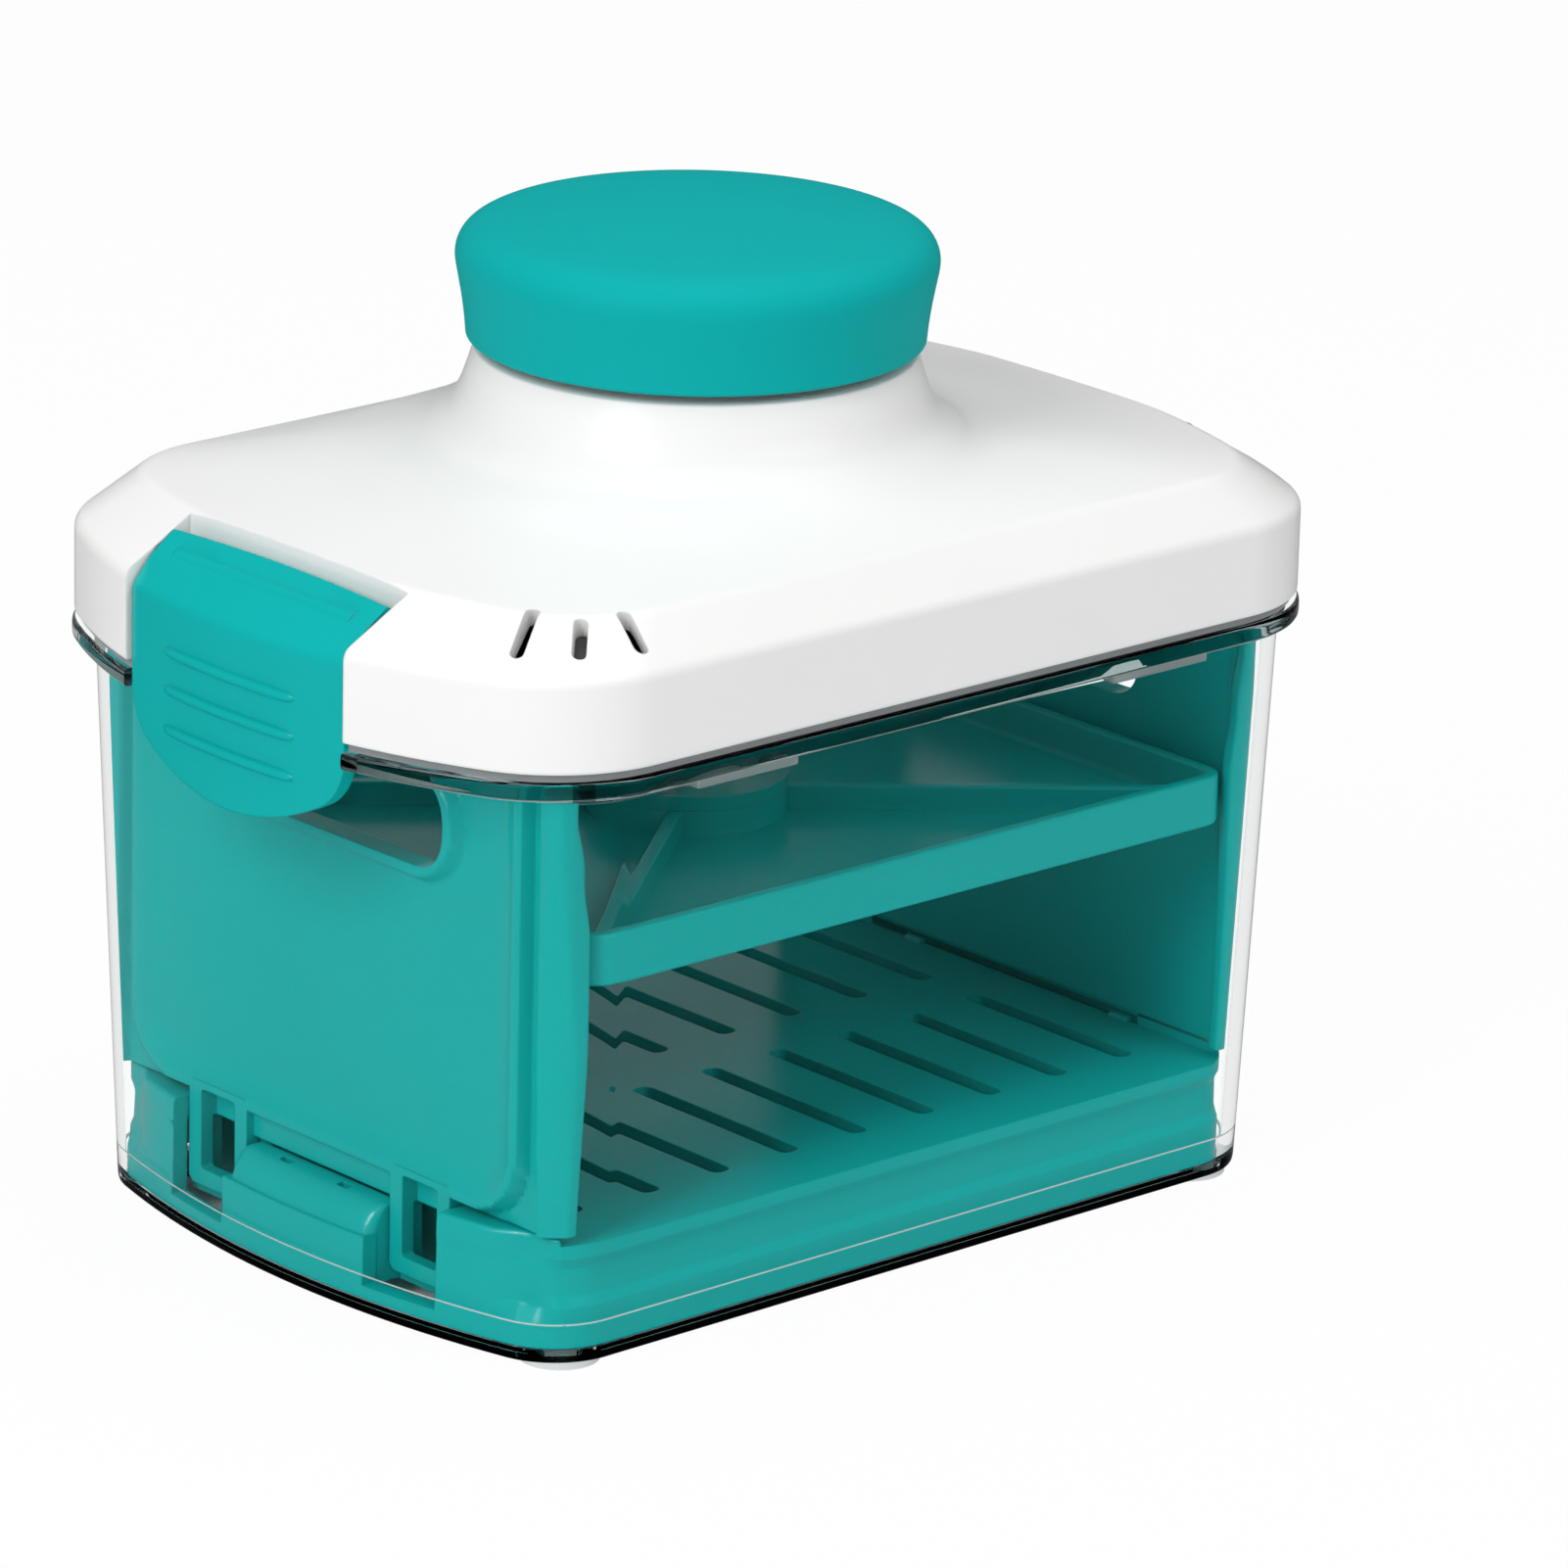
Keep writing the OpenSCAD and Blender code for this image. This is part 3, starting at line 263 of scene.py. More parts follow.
def span(s, a, b):
    """Low and high end of the stretch from a to b on side s."""
    return sorted((s * a, s * b))


def around(r, degrees):
    return r * math.cos(math.radians(degrees)), r * math.sin(math.radians(degrees))


# Stacks of rings
def mix(p, q, t):
    return [a.lerp(b, t) for a, b in zip(p, q)]


def fillet(rings, radii, steps=4):
    """Round the inner rings of an open stack, each point's own chain by a curve of about the radius."""
    out = [rings[0]]
    for k in range(1, len(rings) - 1):
        r = radii[k]
        if r <= 0:
            out.append(rings[k])
            continue
        new = [[] for _ in range(steps + 1)]
        for a, b, c in zip(rings[k - 1], rings[k], rings[k + 1]):
            u, v = a - b, c - b
            if min(u.length, v.length) < 1e-6:
                for row in new:
                    row.append(b.copy())
                continue
            turn = math.pi - u.angle(v)
            t = min(r * math.tan(min(turn, 2.9) / 2), 0.46 * u.length, 0.46 * v.length)
            p, q = b + u / u.length * t, b + v / v.length * t
            for s, row in enumerate(new):
                w = s / steps
                row.append(p * (1 - w) ** 2 + b * 2 * w * (1 - w) + q * w * w)
        out += new
    out.append(rings[-1])
    return out


def curve(a, b, c, d, t):
    """Catmull-Rom curve between b and c."""
    square, cube = 2 * a - 5 * b + 4 * c - d, 3 * b - a - 3 * c + d
    return 0.5 * (2 * b + (c - a) * t + square * t * t + cube * t ** 3)


def smooth_stack(rings, steps=5):
    """Smooth curve through the rings of an open stack."""
    out = []
    last = len(rings) - 1
    for k in range(last):
        near = rings[max(k - 1, 0)], rings[k], rings[k + 1], rings[min(k + 2, last)]
        for s in range(steps):
            out.append([curve(*points, s / steps) for points in zip(*near)])
    out.append(rings[-1])
    return out


# Meshes
def link(name, data):
    o = bpy.data.objects.new(name, data)
    bpy.context.scene.collection.objects.link(o)
    return o


def shade(o, angle=SHARP):
    for p in o.data.polygons:
        p.use_smooth = True
    o.data.set_sharp_from_angle(angle=math.radians(angle))


def from_bmesh(name, bm, angle=SHARP):
    bmesh.ops.recalc_face_normals(bm, faces=bm.faces)
    me = bpy.data.meshes.new(name)
    bm.to_mesh(me)
    bm.free()
    o = link(name, me)
    shade(o, angle)
    return o


def loft(name, rings, closed=False, angle=SHARP):
    """Skin over rings in mm. closed joins the last ring to the first, otherwise both get a cap."""
    bm = bmesh.new()
    rows = [[bm.verts.new(p * MM) for p in r] for r in rings]
    n = len(rings[0])
    pairs = list(zip(rows, rows[1:]))
    if closed:
        pairs.append((rows[-1], rows[0]))
    for r0, r1 in pairs:
        for j in range(n):
            bm.faces.new((r0[j], r0[(j + 1) % n], r1[(j + 1) % n], r1[j]))
    if not closed:
        bm.faces.new(list(reversed(rows[0])))
        bm.faces.new(rows[-1])
    return from_bmesh(name, bm, angle)


def lathe(name, profile, count):
    """Closed profile of (radius, height) turned round Z. A radius of 0 becomes one point."""
    bm = bmesh.new()
    rows = []
    for r, z in profile:
        angles = [2 * math.pi * i / count for i in range(count)] if r > 0 else [0]
        rows.append([bm.verts.new((r * MM * math.cos(w), r * MM * math.sin(w), z * MM)) for w in angles])
    for r0, r1 in zip(rows, rows[1:] + rows[:1]):
        if len(r0) == 1 and len(r1) == 1:
            continue
        for i in range(count):
            j = (i + 1) % count
            if len(r0) == 1:
                bm.faces.new((r0[0], r1[j], r1[i]))
            elif len(r1) == 1:
                bm.faces.new((r0[i], r0[j], r1[0]))
            else:
                bm.faces.new((r0[i], r0[j], r1[j], r1[i]))
    return from_bmesh(name, bm)


def round_line(points, radii, steps=5):
    """Closed 2-D line with rounded corners."""
    n = len(points)
    out = []
    for k in range(n):
        if radii[k] <= 0:
            out.append(tuple(points[k]))
            continue
        a, b, c = (Vector(points[(k + i) % n]) for i in (-1, 0, 1))
        u, v = a - b, c - b
        turn = math.pi - u.angle(v)
        t = min(radii[k] * math.tan(turn / 2), 0.48 * u.length, 0.48 * v.length)
        p, q = b + u.normalized() * t, b + v.normalized() * t
        for s in range(steps + 1):
            w = s / steps
            out.append(tuple(p * (1 - w) ** 2 + b * 2 * w * (1 - w) + q * w * w))
    return out


def rounded_rect(y0, y1, z0, z1, r, steps=8):
    return round_line([(y0, z0), (y1, z0), (y1, z1), (y0, z1)], [r] * 4, steps)


def soften(bm, edges, size):
    bmesh.ops.bevel(bm, geom=list(edges), offset=size * MM, segments=3, profile=0.5, affect="EDGES",
                    clamp_overlap=True)


def prism(name, points, axis, lo, hi, bevel=0.0):
    """Extrude a closed 2-D outline along the named axis. The outline is in the other two, in order."""
    at = "xyz".index(axis)
    bm = bmesh.new()
    ends = []
    for h in (lo, hi):
        ends.append([bm.verts.new(Vector((*p[:at], h, *p[at:])) * MM) for p in points])
    a, b = ends
    n = len(points)
    caps = [bm.faces.new(list(reversed(a))), bm.faces.new(b)]
    for j in range(n):
        bm.faces.new((a[j], a[(j + 1) % n], b[(j + 1) % n], b[j]))
    if bevel:
        soften(bm, set(caps[0].edges) | set(caps[1].edges), bevel)
    return from_bmesh(name, bm)


def block(name, lo, hi, bevel=0.3):
    bm = bmesh.new()
    bmesh.ops.create_cube(bm, size=1)
    for v in bm.verts:
        v.co = Vector([(lo[i] if v.co[i] < 0 else hi[i]) * MM for i in range(3)])
    if bevel:
        soften(bm, bm.edges, bevel)
    return from_bmesh(name, bm)


def rod(name, p, q, r, count=32):
    """Closed cylinder between two points."""
    axis = Vector(q) - Vector(p)
    turn = axis.to_track_quat("Z", "Y").to_matrix().to_4x4()
    middle = Matrix.Translation((Vector(p) + Vector(q)) / 2 * MM)
    bm = bmesh.new()
    bmesh.ops.create_cone(bm, cap_ends=True, segments=count, radius1=r * MM, radius2=r * MM,
                          depth=axis.length * MM, matrix=middle @ turn)
    return from_bmesh(name, bm)


def apply_modifiers(o):
    """Replace the mesh of an object by what its modifiers make of it."""
    graph = bpy.context.evaluated_depsgraph_get()
    me = bpy.data.meshes.new_from_object(o.evaluated_get(graph))
    old = o.data
    o.modifiers.clear()
    o.data = me
    me.name = o.name
    bpy.data.meshes.remove(old)


def boolean(o, others, operation="DIFFERENCE", angle=SHARP):
    """Cut or join with exact booleans and keep the plain result."""
    for other in others:
        m = o.modifiers.new("cut", "BOOLEAN")
        m.operation = operation
        m.solver = "EXACT"
        m.object = other
    apply_modifiers(o)
    for other in others:
        bpy.data.objects.remove(other)
    shade(o, angle)
    return o


def mirrored(o, name, angle=SHARP):
    """Copy mirrored across the YZ plane, with its normals kept outward."""
    me = o.data.copy()
    me.transform(Matrix.Scale(-1, 4, (1, 0, 0)))
    me.flip_normals()
    copy = link(name, me)
    shade(copy, angle)
    return copy


def join(name, objs):
    """One object from several, without welding them."""
    bm = bmesh.new()
    for o in objs:
        bm.from_mesh(o.data)
        bpy.data.objects.remove(o)
    me = bpy.data.meshes.new(name)
    bm.to_mesh(me)
    bm.free()
    o = link(name, me)
    shade(o)
    return o


# Materials
class Tree:
    """Short words for building a node tree. A term is a number, a node or a pair of node and output."""

    def __init__(self, tree):
        self.t = tree
        tree.nodes.clear()

    def node(self, kind, *terms, **values):
        """New node. values set its inputs or settings, and terms feed its inputs in order."""
        n = self.t.nodes.new(kind)
        for key, value in values.items():
            name = key.replace("_", " ")
            if name in n.inputs:
                n.inputs[name].default_value = value
            else:
                setattr(n, key, value)
        for i, term in enumerate(terms):
            self.feed(term, n, i)
        return n

    def feed(self, term, n, name):
        if isinstance(term, (int, float)):
            n.inputs[name].default_value = term
            return
        source, out = term if isinstance(term, tuple) else (term, 0)
        self.t.links.new(source.outputs[out], n.inputs[name])

    def math(self, operation, *terms):
        return self.node("ShaderNodeMath", *terms, operation=operation)

    def blend(self, share, first, second):
        return self.node("ShaderNodeMixShader", share, first, second)

    def ranged(self, term, low, high, start=0.0, end=1.0):
        """Map start to end onto low to high."""
        return self.node("ShaderNodeMapRange", term, From_Min=start, From_Max=end, To_Min=low, To_Max=high)

    def noise(self, scale, detail, rough=0.5):
        n = self.node("ShaderNodeTexNoise", Scale=scale, Detail=detail, Roughness=rough)
        self.feed((self.node("ShaderNodeTexCoord"), "Object"), n, "Vector")
        return n

    def bump(self, height, strength, depth, normal=None):
        n = self.node("ShaderNodeBump", Strength=strength, Distance=depth)
        self.feed((height, "Fac"), n, "Height")
        if normal is not None:
            self.feed(normal, n, "Normal")
        return n


class Mat(Tree):
    def __init__(self, name):
        self.m = bpy.data.materials.new(name)
        self.m.use_nodes = True
        super().__init__(self.m.node_tree)

    def tones(self, noise, first, second):
        """Colour that drifts between two tones with a noise."""
        n = self.node("ShaderNodeValToRGB")
        n.color_ramp.elements[0].color = (*first, 1)
        n.color_ramp.elements[1].color = (*second, 1)
        self.feed((noise, "Fac"), n, "Fac")
        return n

    def finish(self, shader):
        self.feed(shader, self.node("ShaderNodeOutputMaterial"), "Surface")
        return self.m


def plastic(name, first, second, rough, edge, spec, bump=0.0, grain=2600):
    """Moulded plastic: slow tone drift, soft waves and softened edges, and a fine grain where bump is set."""
    m = Mat(name)
    p = m.node("ShaderNodeBsdfPrincipled", IOR=1.49, Specular_IOR_Level=spec)
    m.feed(m.tones(m.noise(28, 2), first, second), p, "Base Color")
    m.feed(m.ranged((m.noise(90, 2), "Fac"), rough - HAZE, rough + HAZE), p, "Roughness")
    soft = m.node("ShaderNodeBevel", samples=6, Radius=edge * MM)
    normal = m.bump(m.noise(34, 1), WAVE, WAVE_DEPTH, soft)
    if bump:
        normal = m.bump(m.noise(grain, 2, 0.6), bump, GRAIN_DEPTH, normal)
    m.feed(normal, p, "Normal")
    return m.finish(p)


def clear_plastic(name, tint=(0.988, 0.997, 0.996)):
    """Clear moulded plastic with weak mirror images, but full reflection inside its edges.

    Shadow and diffuse rays pass with a slight loss, so what is inside is lit."""
    m = Mat(name)
    colour = (*tint, 1)
    normal = m.bump(m.noise(26, 1), 0.006, 0.0002)
    full = m.node("ShaderNodeBsdfPrincipled", Roughness=0.0, IOR=CLEAR_IOR, Transmission_Weight=1.0,
                  Specular_IOR_Level=0.2, Base_Color=colour)
    plain = m.node("ShaderNodeBsdfRefraction", Roughness=0.0, IOR=CLEAR_IOR, Color=colour)
    for shader in (full, plain):
        m.feed(normal, shader, "Normal")
    share = m.ranged(m.node("ShaderNodeFresnel", IOR=CLEAR_IOR), 0.05, 1.0, 0.08, 0.6)
    passed = m.node("ShaderNodeBsdfTransparent", Color=(0.985, 0.992, 0.992, 1))
    path = m.node("ShaderNodeLightPath")
    lighting = m.math("MAXIMUM", (path, "Is Shadow Ray"), (path, "Is Diffuse Ray"))
    return m.finish(m.blend(lighting, m.blend(share, plain, full), passed))


def metal(name):
    m = Mat(name)
    p = m.node("ShaderNodeBsdfPrincipled", Metallic=1.0)
    m.feed(m.tones(m.noise(180, 4), (0.52, 0.53, 0.55), (0.68, 0.69, 0.7)), p, "Base Color")
    m.feed(m.ranged((m.noise(700, 4), "Fac"), 0.2, 0.42), p, "Roughness")
    m.feed(m.bump(m.noise(2400, 2), 0.1, 0.00005), p, "Normal")
    return m.finish(p)


def milky(name, first, second, rough, through):
    """Soft translucent moulding such as a foot pad or a gasket."""
    m = Mat(name)
    p = m.node("ShaderNodeBsdfPrincipled", Roughness=rough, IOR=1.42, Transmission_Weight=through)
    m.feed(m.tones(m.noise(60, 4), first, second), p, "Base Color")
    m.feed(m.bump(m.noise(1500, 3), 0.1, 0.0001), p, "Normal")
    return m.finish(p)


TEAL = plastic("teal_plastic", (0.0018, 0.4, 0.385), (0.0024, 0.43, 0.42), 0.22, 0.3, 0.32)
SOFT = plastic("teal_soft", (0.0016, 0.37, 0.365), (0.0022, 0.4, 0.395), 0.6, 0.35, 0.06, bump=0.12,
               grain=5200)
WHITE = plastic("white_plastic", (0.85, 0.85, 0.845), (0.9, 0.9, 0.895), 0.3, 0.5, 0.25)
CLEAR = clear_plastic("clear_box")
SEAL = milky("seal", (0.3, 0.32, 0.33), (0.36, 0.38, 0.39), 0.4, 0.3)
FOOT = milky("foot", (0.82, 0.84, 0.84), (0.88, 0.9, 0.9), 0.45, 0.15)
STEEL = metal("steel")
# Clear plastic darkened to paint shade on the flange rim and round the foot bosses, in place of their dark
# refraction
EDGE = clear_plastic("clear_edge_painted_shade", (0.34, 0.42, 0.42))
# Clear plastic tinted almost black: painted shade for the dark band along the foot rim
FOOT_RIM_SHADE = clear_plastic("clear_base", (0.02, 0.03, 0.03))
# Whitish moulding used as a painted highlight line on the inner step near the floor
PAINTED_HIGHLIGHT = milky("clear_frost", (0.9, 0.94, 0.94), (0.96, 0.98, 0.98), 0.3, 0.2)
# Grey moulding used as painted shade on the clear ledges, in place of their refraction
LEDGE = milky("clear_ledge_painted_shade", (0.3, 0.35, 0.35), (0.36, 0.42, 0.42), 0.3, 0.4)

# CAD pieces that are kept as they are, by the finish they get
CAD_FINISH = [
    (STEEL, "retainer_screws", "hub_screws", "rod_screw", "lid_screws", "nut_screws"),
    (STEEL, "latch_pin_left", "latch_pin_right"),
    (WHITE, "knob_hub", "lid_liner", "screw_nut"),
    (TEAL, "rod_retainer"),
    (SEAL, "lid_seal"),
    (FOOT, "feet"),
]


def dress(o, material):
    o.data.materials.clear()
    o.data.materials.append(material)


def weigh(o):
    """Normals that follow the large faces, so flats stay flat beside small roundings."""
    m = o.modifiers.new("weigh", "WEIGHTED_NORMAL")
    m.weight = 100
    m.keep_sharp = True
    apply_modifiers(o)


def piece(o, material, body, *stands_for):
    """Give a new piece its finish and its body, and hide the CAD nodes it stands for."""
    weigh(o)
    dress(o, material)
    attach(o, body)
    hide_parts(*stands_for)


# Container
def make_container():
    rings = [
        box_ring(CAP_D, FLOOR_UNDER),
        box_ring(-RIM_W, FLOOR_UNDER),
        box_ring(-RIM_W, BOX_BOTTOM),
        box_ring(-0.1, BOX_BOTTOM),
        box_ring(flare_at(BAND_TOP), BAND_TOP),
        box_ring(flare_at(FLANGE_BOTTOM), FLANGE_BOTTOM),
        lid_ring(FLANGE_OUT, FLANGE_BOTTOM),
        lid_ring(FLANGE_OUT, BOX_TOP),
    ]
    rings += [box_ring(d, z) for d, z in MOUTH]
    rings += [
        box_ring(flare_at(STEP_TOP) - WALL_T, STEP_TOP),
        box_ring(flare_at(STEP_Z) - WALL_T - STEP_W, STEP_Z),
        box_ring(-WALL_T - STEP_W, GROOVE_Z),
        box_ring(GROOVE_D, GROOVE_Z),
        box_ring(GROOVE_D, FLOOR_TOP),
        box_ring(CAP_D, FLOOR_TOP),
    ]
    radii = [0, 0.2, 0.4, 0.8, 0, 1.2, 0.7, 0.7, 0.4, 0.3, 0.3, 0.1, 0.1, 0.1, 0.1, 0.1, 0]
    o = loft("container_clear", fillet(rings, radii))
    notches = []
    for s in (-1, 1):
        outline = rounded_rect(-POCKET_Y, POCKET_Y, FLANGE_BOTTOM - 9, BOX_TOP + 6, 0.4, 2)
        notches.append(prism("notch", outline, "x", *span(s, NOTCH_X, LID_A + 5)))
    boolean(o, notches)
    adds, spigots = [], []
    for sx, sy in CORNERS:
        y0, y1 = span(sy, BOX_B + FLARE - LEDGE_IN, BOX_B + FLARE + LEDGE_OUT)
        adds.append(block("ledge", (sx * LEDGE_X - LEDGE_HALF, y0, FLANGE_BOTTOM - LEDGE_DROP),
                          (sx * LEDGE_X + LEDGE_HALF, y1, FLANGE_BOTTOM + 0.5), 0.35))
        x, y = sx * FOOT_X, sy * FOOT_Y
        adds.append(rod("boss", (x, y, BOX_BOTTOM + 0.05), (x, y, FLOOR_UNDER + 0.3), BOSS_R))
        spigots.append(rod("spigot", (x, y, BOX_BOTTOM - 1), (x, y, SPIGOT_TOP), SPIGOT_R))
    boolean(o, adds, "UNION")
    boolean(o, spigots)
    piece(o, CLEAR, "box", "container")
    paint_shade_and_highlight(o)


def paint_shade_and_highlight(o):
    """Paint shade on the flange rim, the foot rim and round the foot bosses, a painted highlight on the inner
    step and painted grey shade on the ledges of the clear box.
    """
    for material in (EDGE, FOOT_RIM_SHADE, PAINTED_HIGHLIGHT, LEDGE):
        o.data.materials.append(material)
    edge, foot_rim_shade, painted_highlight, ledge = 1, 2, 3, 4
    for f in o.data.polygons:
        c, n = f.center / MM, f.normal
        far = box_outside(c.x, c.y)
        at_foot = math.hypot(abs(c.x) - FOOT_X, abs(c.y) - FOOT_Y) < BOSS_R + 0.2
        at_ledge = abs(abs(c.x) - LEDGE_X) < LEDGE_HALF + 0.5 and far > FLARE + 0.5
        # Painted shade on the outer faces of the flange rim
        if c.z > FLANGE_BOTTOM - 0.2 and abs(n.z) < 0.8 and far > FLARE + 1.2:
            f.material_index = edge
        # Painted shade: the dark band on the faces of the foot rim
        elif c.z < BAND_TOP - 0.03 and n.z < 0.9 and far > -RIM_W - 0.1:
            f.material_index = foot_rim_shade
        # Painted shade on the faces round the foot bosses
        elif c.z < BAND_TOP + 0.4 and at_foot:
            f.material_index = edge
        # Painted highlight line on the inner step
        elif STEP_Z - 0.02 < c.z < STEP_TOP + 0.02 and n.z > 0.3 and far > -3:
            f.material_index = painted_highlight
        # Painted grey shade on the ledges
        elif FLANGE_BOTTOM - 2.6 < c.z < FLANGE_BOTTOM - 0.05 and at_ledge:
            f.material_index = ledge


# Lid
def make_lid():
    stack = []
    for h, share in DECK:
        stack.append(mix(top_ring(0, BEVEL_TOP + h), circle_ring(COLLAR_FOOT_R, BEVEL_TOP + h), share))
    stack += [circle_ring(r, z) for r, z in COLLAR]
    rings = [lid_ring(-2.0, LID_BOTTOM), lid_ring(0, LID_BOTTOM), lid_ring(0, SKIRT_TOP),
             top_ring(0, BEVEL_TOP)]
    radii = [0, 0.5, 2.2, 3.5]
    rings += smooth_stack(stack)[7:]
    rings += [circle_ring(r, z) for r, z in INSIDE]
    rings.append(mix(top_ring(-LID_T, BEVEL_TOP + 0.6), circle_ring(COLLAR_FOOT_R, BEVEL_TOP + 0.6), 0.5))
    rings.append(top_ring(-LID_T - 0.2, BEVEL_TOP - 2.3))
    rings.append(lid_ring(-LID_T, SKIRT_TOP - 0.8))
    rings.append(lid_ring(-LID_T, LID_BOTTOM + 0.3))
    radii += [0] * (len(rings) - len(radii))
    o = loft("lid_white", fillet(rings, radii, 5), closed=True)
    boolean(o, lid_walls(), "UNION")
    boolean(o, lid_pockets() + [pouring_slot(*ends) for ends in SLOTS] + lid_bores())
    piece(o, WHITE, "lid", "lid_shell")


def lid_walls():
    """Walls behind the latch pockets and posts for the screws, all under the lid."""
    walls = []
    low, half = LID_BOTTOM + 0.02, POCKET_Y + POCKET_T
    outline = [(WALL_OUT, low), (PIN_X, low), (PIN_X, BEND_Z - 4.8), (PIN_X - 4.3, BEND_Z - 2),
               (PIN_X - 6.8, BEND_Z + 1), (PIN_X - 6.8, BEVEL_TOP - 1.6), (PIN_X - 5.1, BEVEL_TOP - 1.6),
               (WALL_OUT, SKIRT_TOP - 0.3)]
    for s in (-1, 1):
        walls.append(prism("wall", [(s * x, z) for x, z in outline], "y", -half, half))
    for sx, sy in CORNERS:
        x, y = sx * POST_X, sy * POST_Y
        walls.append(rod("post", (x, y, POST_BOTTOM), (x, y, POST_TOP), POST_R))
    return walls


def lid_pockets():
    """Room for the latches, and bores for their pins."""
    outline = [(LID_A + 5, BOX_TOP - 1), (SEAT_X, BOX_TOP - 1), (SEAT_X, BEND_Z - 3.6),
               (PIN_X - 3, BEND_Z - 0.4), (PIN_X - 4.7, BEND_Z + 2), (PIN_X - 4.7, BEVEL_TOP + 4),
               (LID_A + 5, BEVEL_TOP + 4)]
    outline = round_line(outline, [0, 0, 2.5, 1.5, 2, 0, 0])
    cuts = []
    for s in (-1, 1):
        cuts.append(prism("pocket", [(s * x, z) for x, z in outline], "y", -POCKET_Y, POCKET_Y))
        cuts.append(rod("bore", (s * PIN_X, -PIN_HALF, PIN_Z), (s * PIN_X, PIN_HALF, PIN_Z), PIN_R))
    return cuts


def pouring_slot(start, end):
    """Leaning slot through the lid between two points, given from the corner at its left and front."""
    a, b = (Vector((x - LID_A, y - LID_B)) for x, y in (start, end))
    along = (b - a).normalized()
    across = Vector((-along.y, along.x))
    a, b = a + along * SLOT_START, b + along * SLOT_MORE
    outline = []
    for centre, turn in ((b, -90), (a, 90)):
        for i in range(13):
            u, v = around(SLOT_R, turn + 15 * i)
            outline.append(centre + along * u + across * v)
    lean = (-a).normalized() * SLOT_LEAN
    low = [Vector((*(p + lean), SKIRT_TOP - 1)) for p in outline]
    high = [Vector((*(p - lean * 0.7), BEVEL_TOP + 4)) for p in outline]
    return loft("slot", [low, high])


def lid_bores():
    bores = []
    for sx, sy in CORNERS:
        x, y = sx * POST_X, sy * POST_Y
        bores.append(rod("bore", (x, y, 78), (x, y, LID_BORE_TOP), LID_BORE_R))
    return bores


# Knob
def make_knob():
    lip, roof, inner = KNOB_BOTTOM, KNOB_TOP - KNOB_T, KNOB_LIP_R - KNOB_T
    side = [(KNOB_LIP_R + r, lip + h) for r, h in KNOB_LIP] + [(KNOB_R - r, lip + h) for r, h in KNOB_SIDE]
    rows = smooth_stack([[Vector((r, 0, z))] for r, z in side])
    line = [(p[0].x, p[0].z) for p in rows]
    line += [(0, KNOB_TOP), (0, roof), (10, roof - 0.3), (20, roof - 1.1), (inner - 2.2, roof - 2.3),
             (inner, roof - 4), (inner, lip + 0.3), (inner + 0.4, lip)]
    o = lathe("knob_soft", line, 160)
    posts = []
    for angle in (30, 150, 270):
        x, y = around(KNOB_POST_AT, angle)
        posts.append(rod("post", (x, y, KNOB_POST_Z), (x, y, roof - 0.6), KNOB_POST_R))
    boolean(o, posts, "UNION")
    piece(o, SOFT, "knob", "knob_cap")


# Latches
def latch_face(y):
    return LATCH_X + 0.1 - LATCH_BOW * (2 * y / LATCH_W) ** 2


def latch_line(y):
    """Side profile of a latch at width y: up its outer skin and back down its inner skin."""
    crown = 1 - (2 * y / LATCH_W) ** 2
    face, low = latch_face(y), LATCH_Z - 2
    bend = Vector((face, BEND_Z))
    top = Vector((LATCH_TOP_X - CROWN_X * crown, LATCH_TOP_Z + CROWN_Z * crown))
    run = top - bend
    out = Vector((run.y, -run.x)).normalized()
    middle = bend + run * 0.5 + out * 0.55
    tuck = top - out * 1.9
    elbow = (face - LATCH_T + 0.1, BEND_Z - 0.9)
    return [(face, low), (face, LATCH_Z + 8), (face, BEND_Z - 4), bend, middle, top, tuck, elbow,
            (face - LATCH_T, BEND_Z - 4), (face - LATCH_T, low)]


def latch_front():
    """Front outline of a latch: straight sides, round corners and a bowed lip."""
    half, r, bow = LATCH_W / 2, LATCH_CORNER_R, LATCH_LIP_R
    low = LATCH_Z + bow - math.sqrt((bow - r) ** 2 - (half - r) ** 2)
    a = math.asin((half - r) / (bow - r))
    down = math.radians(270)
    arcs = [
        (-half + r, low, r, math.pi, math.pi / 2 - a, range(11), 10),
        (0, LATCH_Z + bow, bow, down - a, 2 * a, range(1, 24), 24),
        (half - r, low, r, down + a, math.pi / 2 - a, range(11), 10),
    ]
    line = [(half, BEVEL_TOP + 5), (-half, BEVEL_TOP + 5)]
    for x, z, radius, start, turn, steps, count in arcs:
        for i in steps:
            w = start + turn * i / count
            line.append((x + radius * math.cos(w), z + radius * math.sin(w)))
    return line


def grip_rib(z):
    """Low rib that follows the latch face and fades at both ends."""
    n, m = 36, 8
    rings = []
    for k in range(n + 1):
        v = 2 * k / n - 1
        y = RIB_MID + RIB_HALF * v
        fade = max(0.0, 1 - abs(v) ** 7) ** 0.5
        w, h = RIB_W * (0.35 + 0.65 * fade), RIB_H * fade + 0.02
        x = -latch_face(y)
        profile = [Vector((x + 0.5, y, z - w))]
        for i in range(m + 1):
            u = math.pi * i / m
            profile.append(Vector((x - h * math.sin(u), y, z - w * math.cos(u))))
        profile.append(Vector((x + 0.5, y, z + w)))
        rings.append(profile)
    return loft("rib", rings)


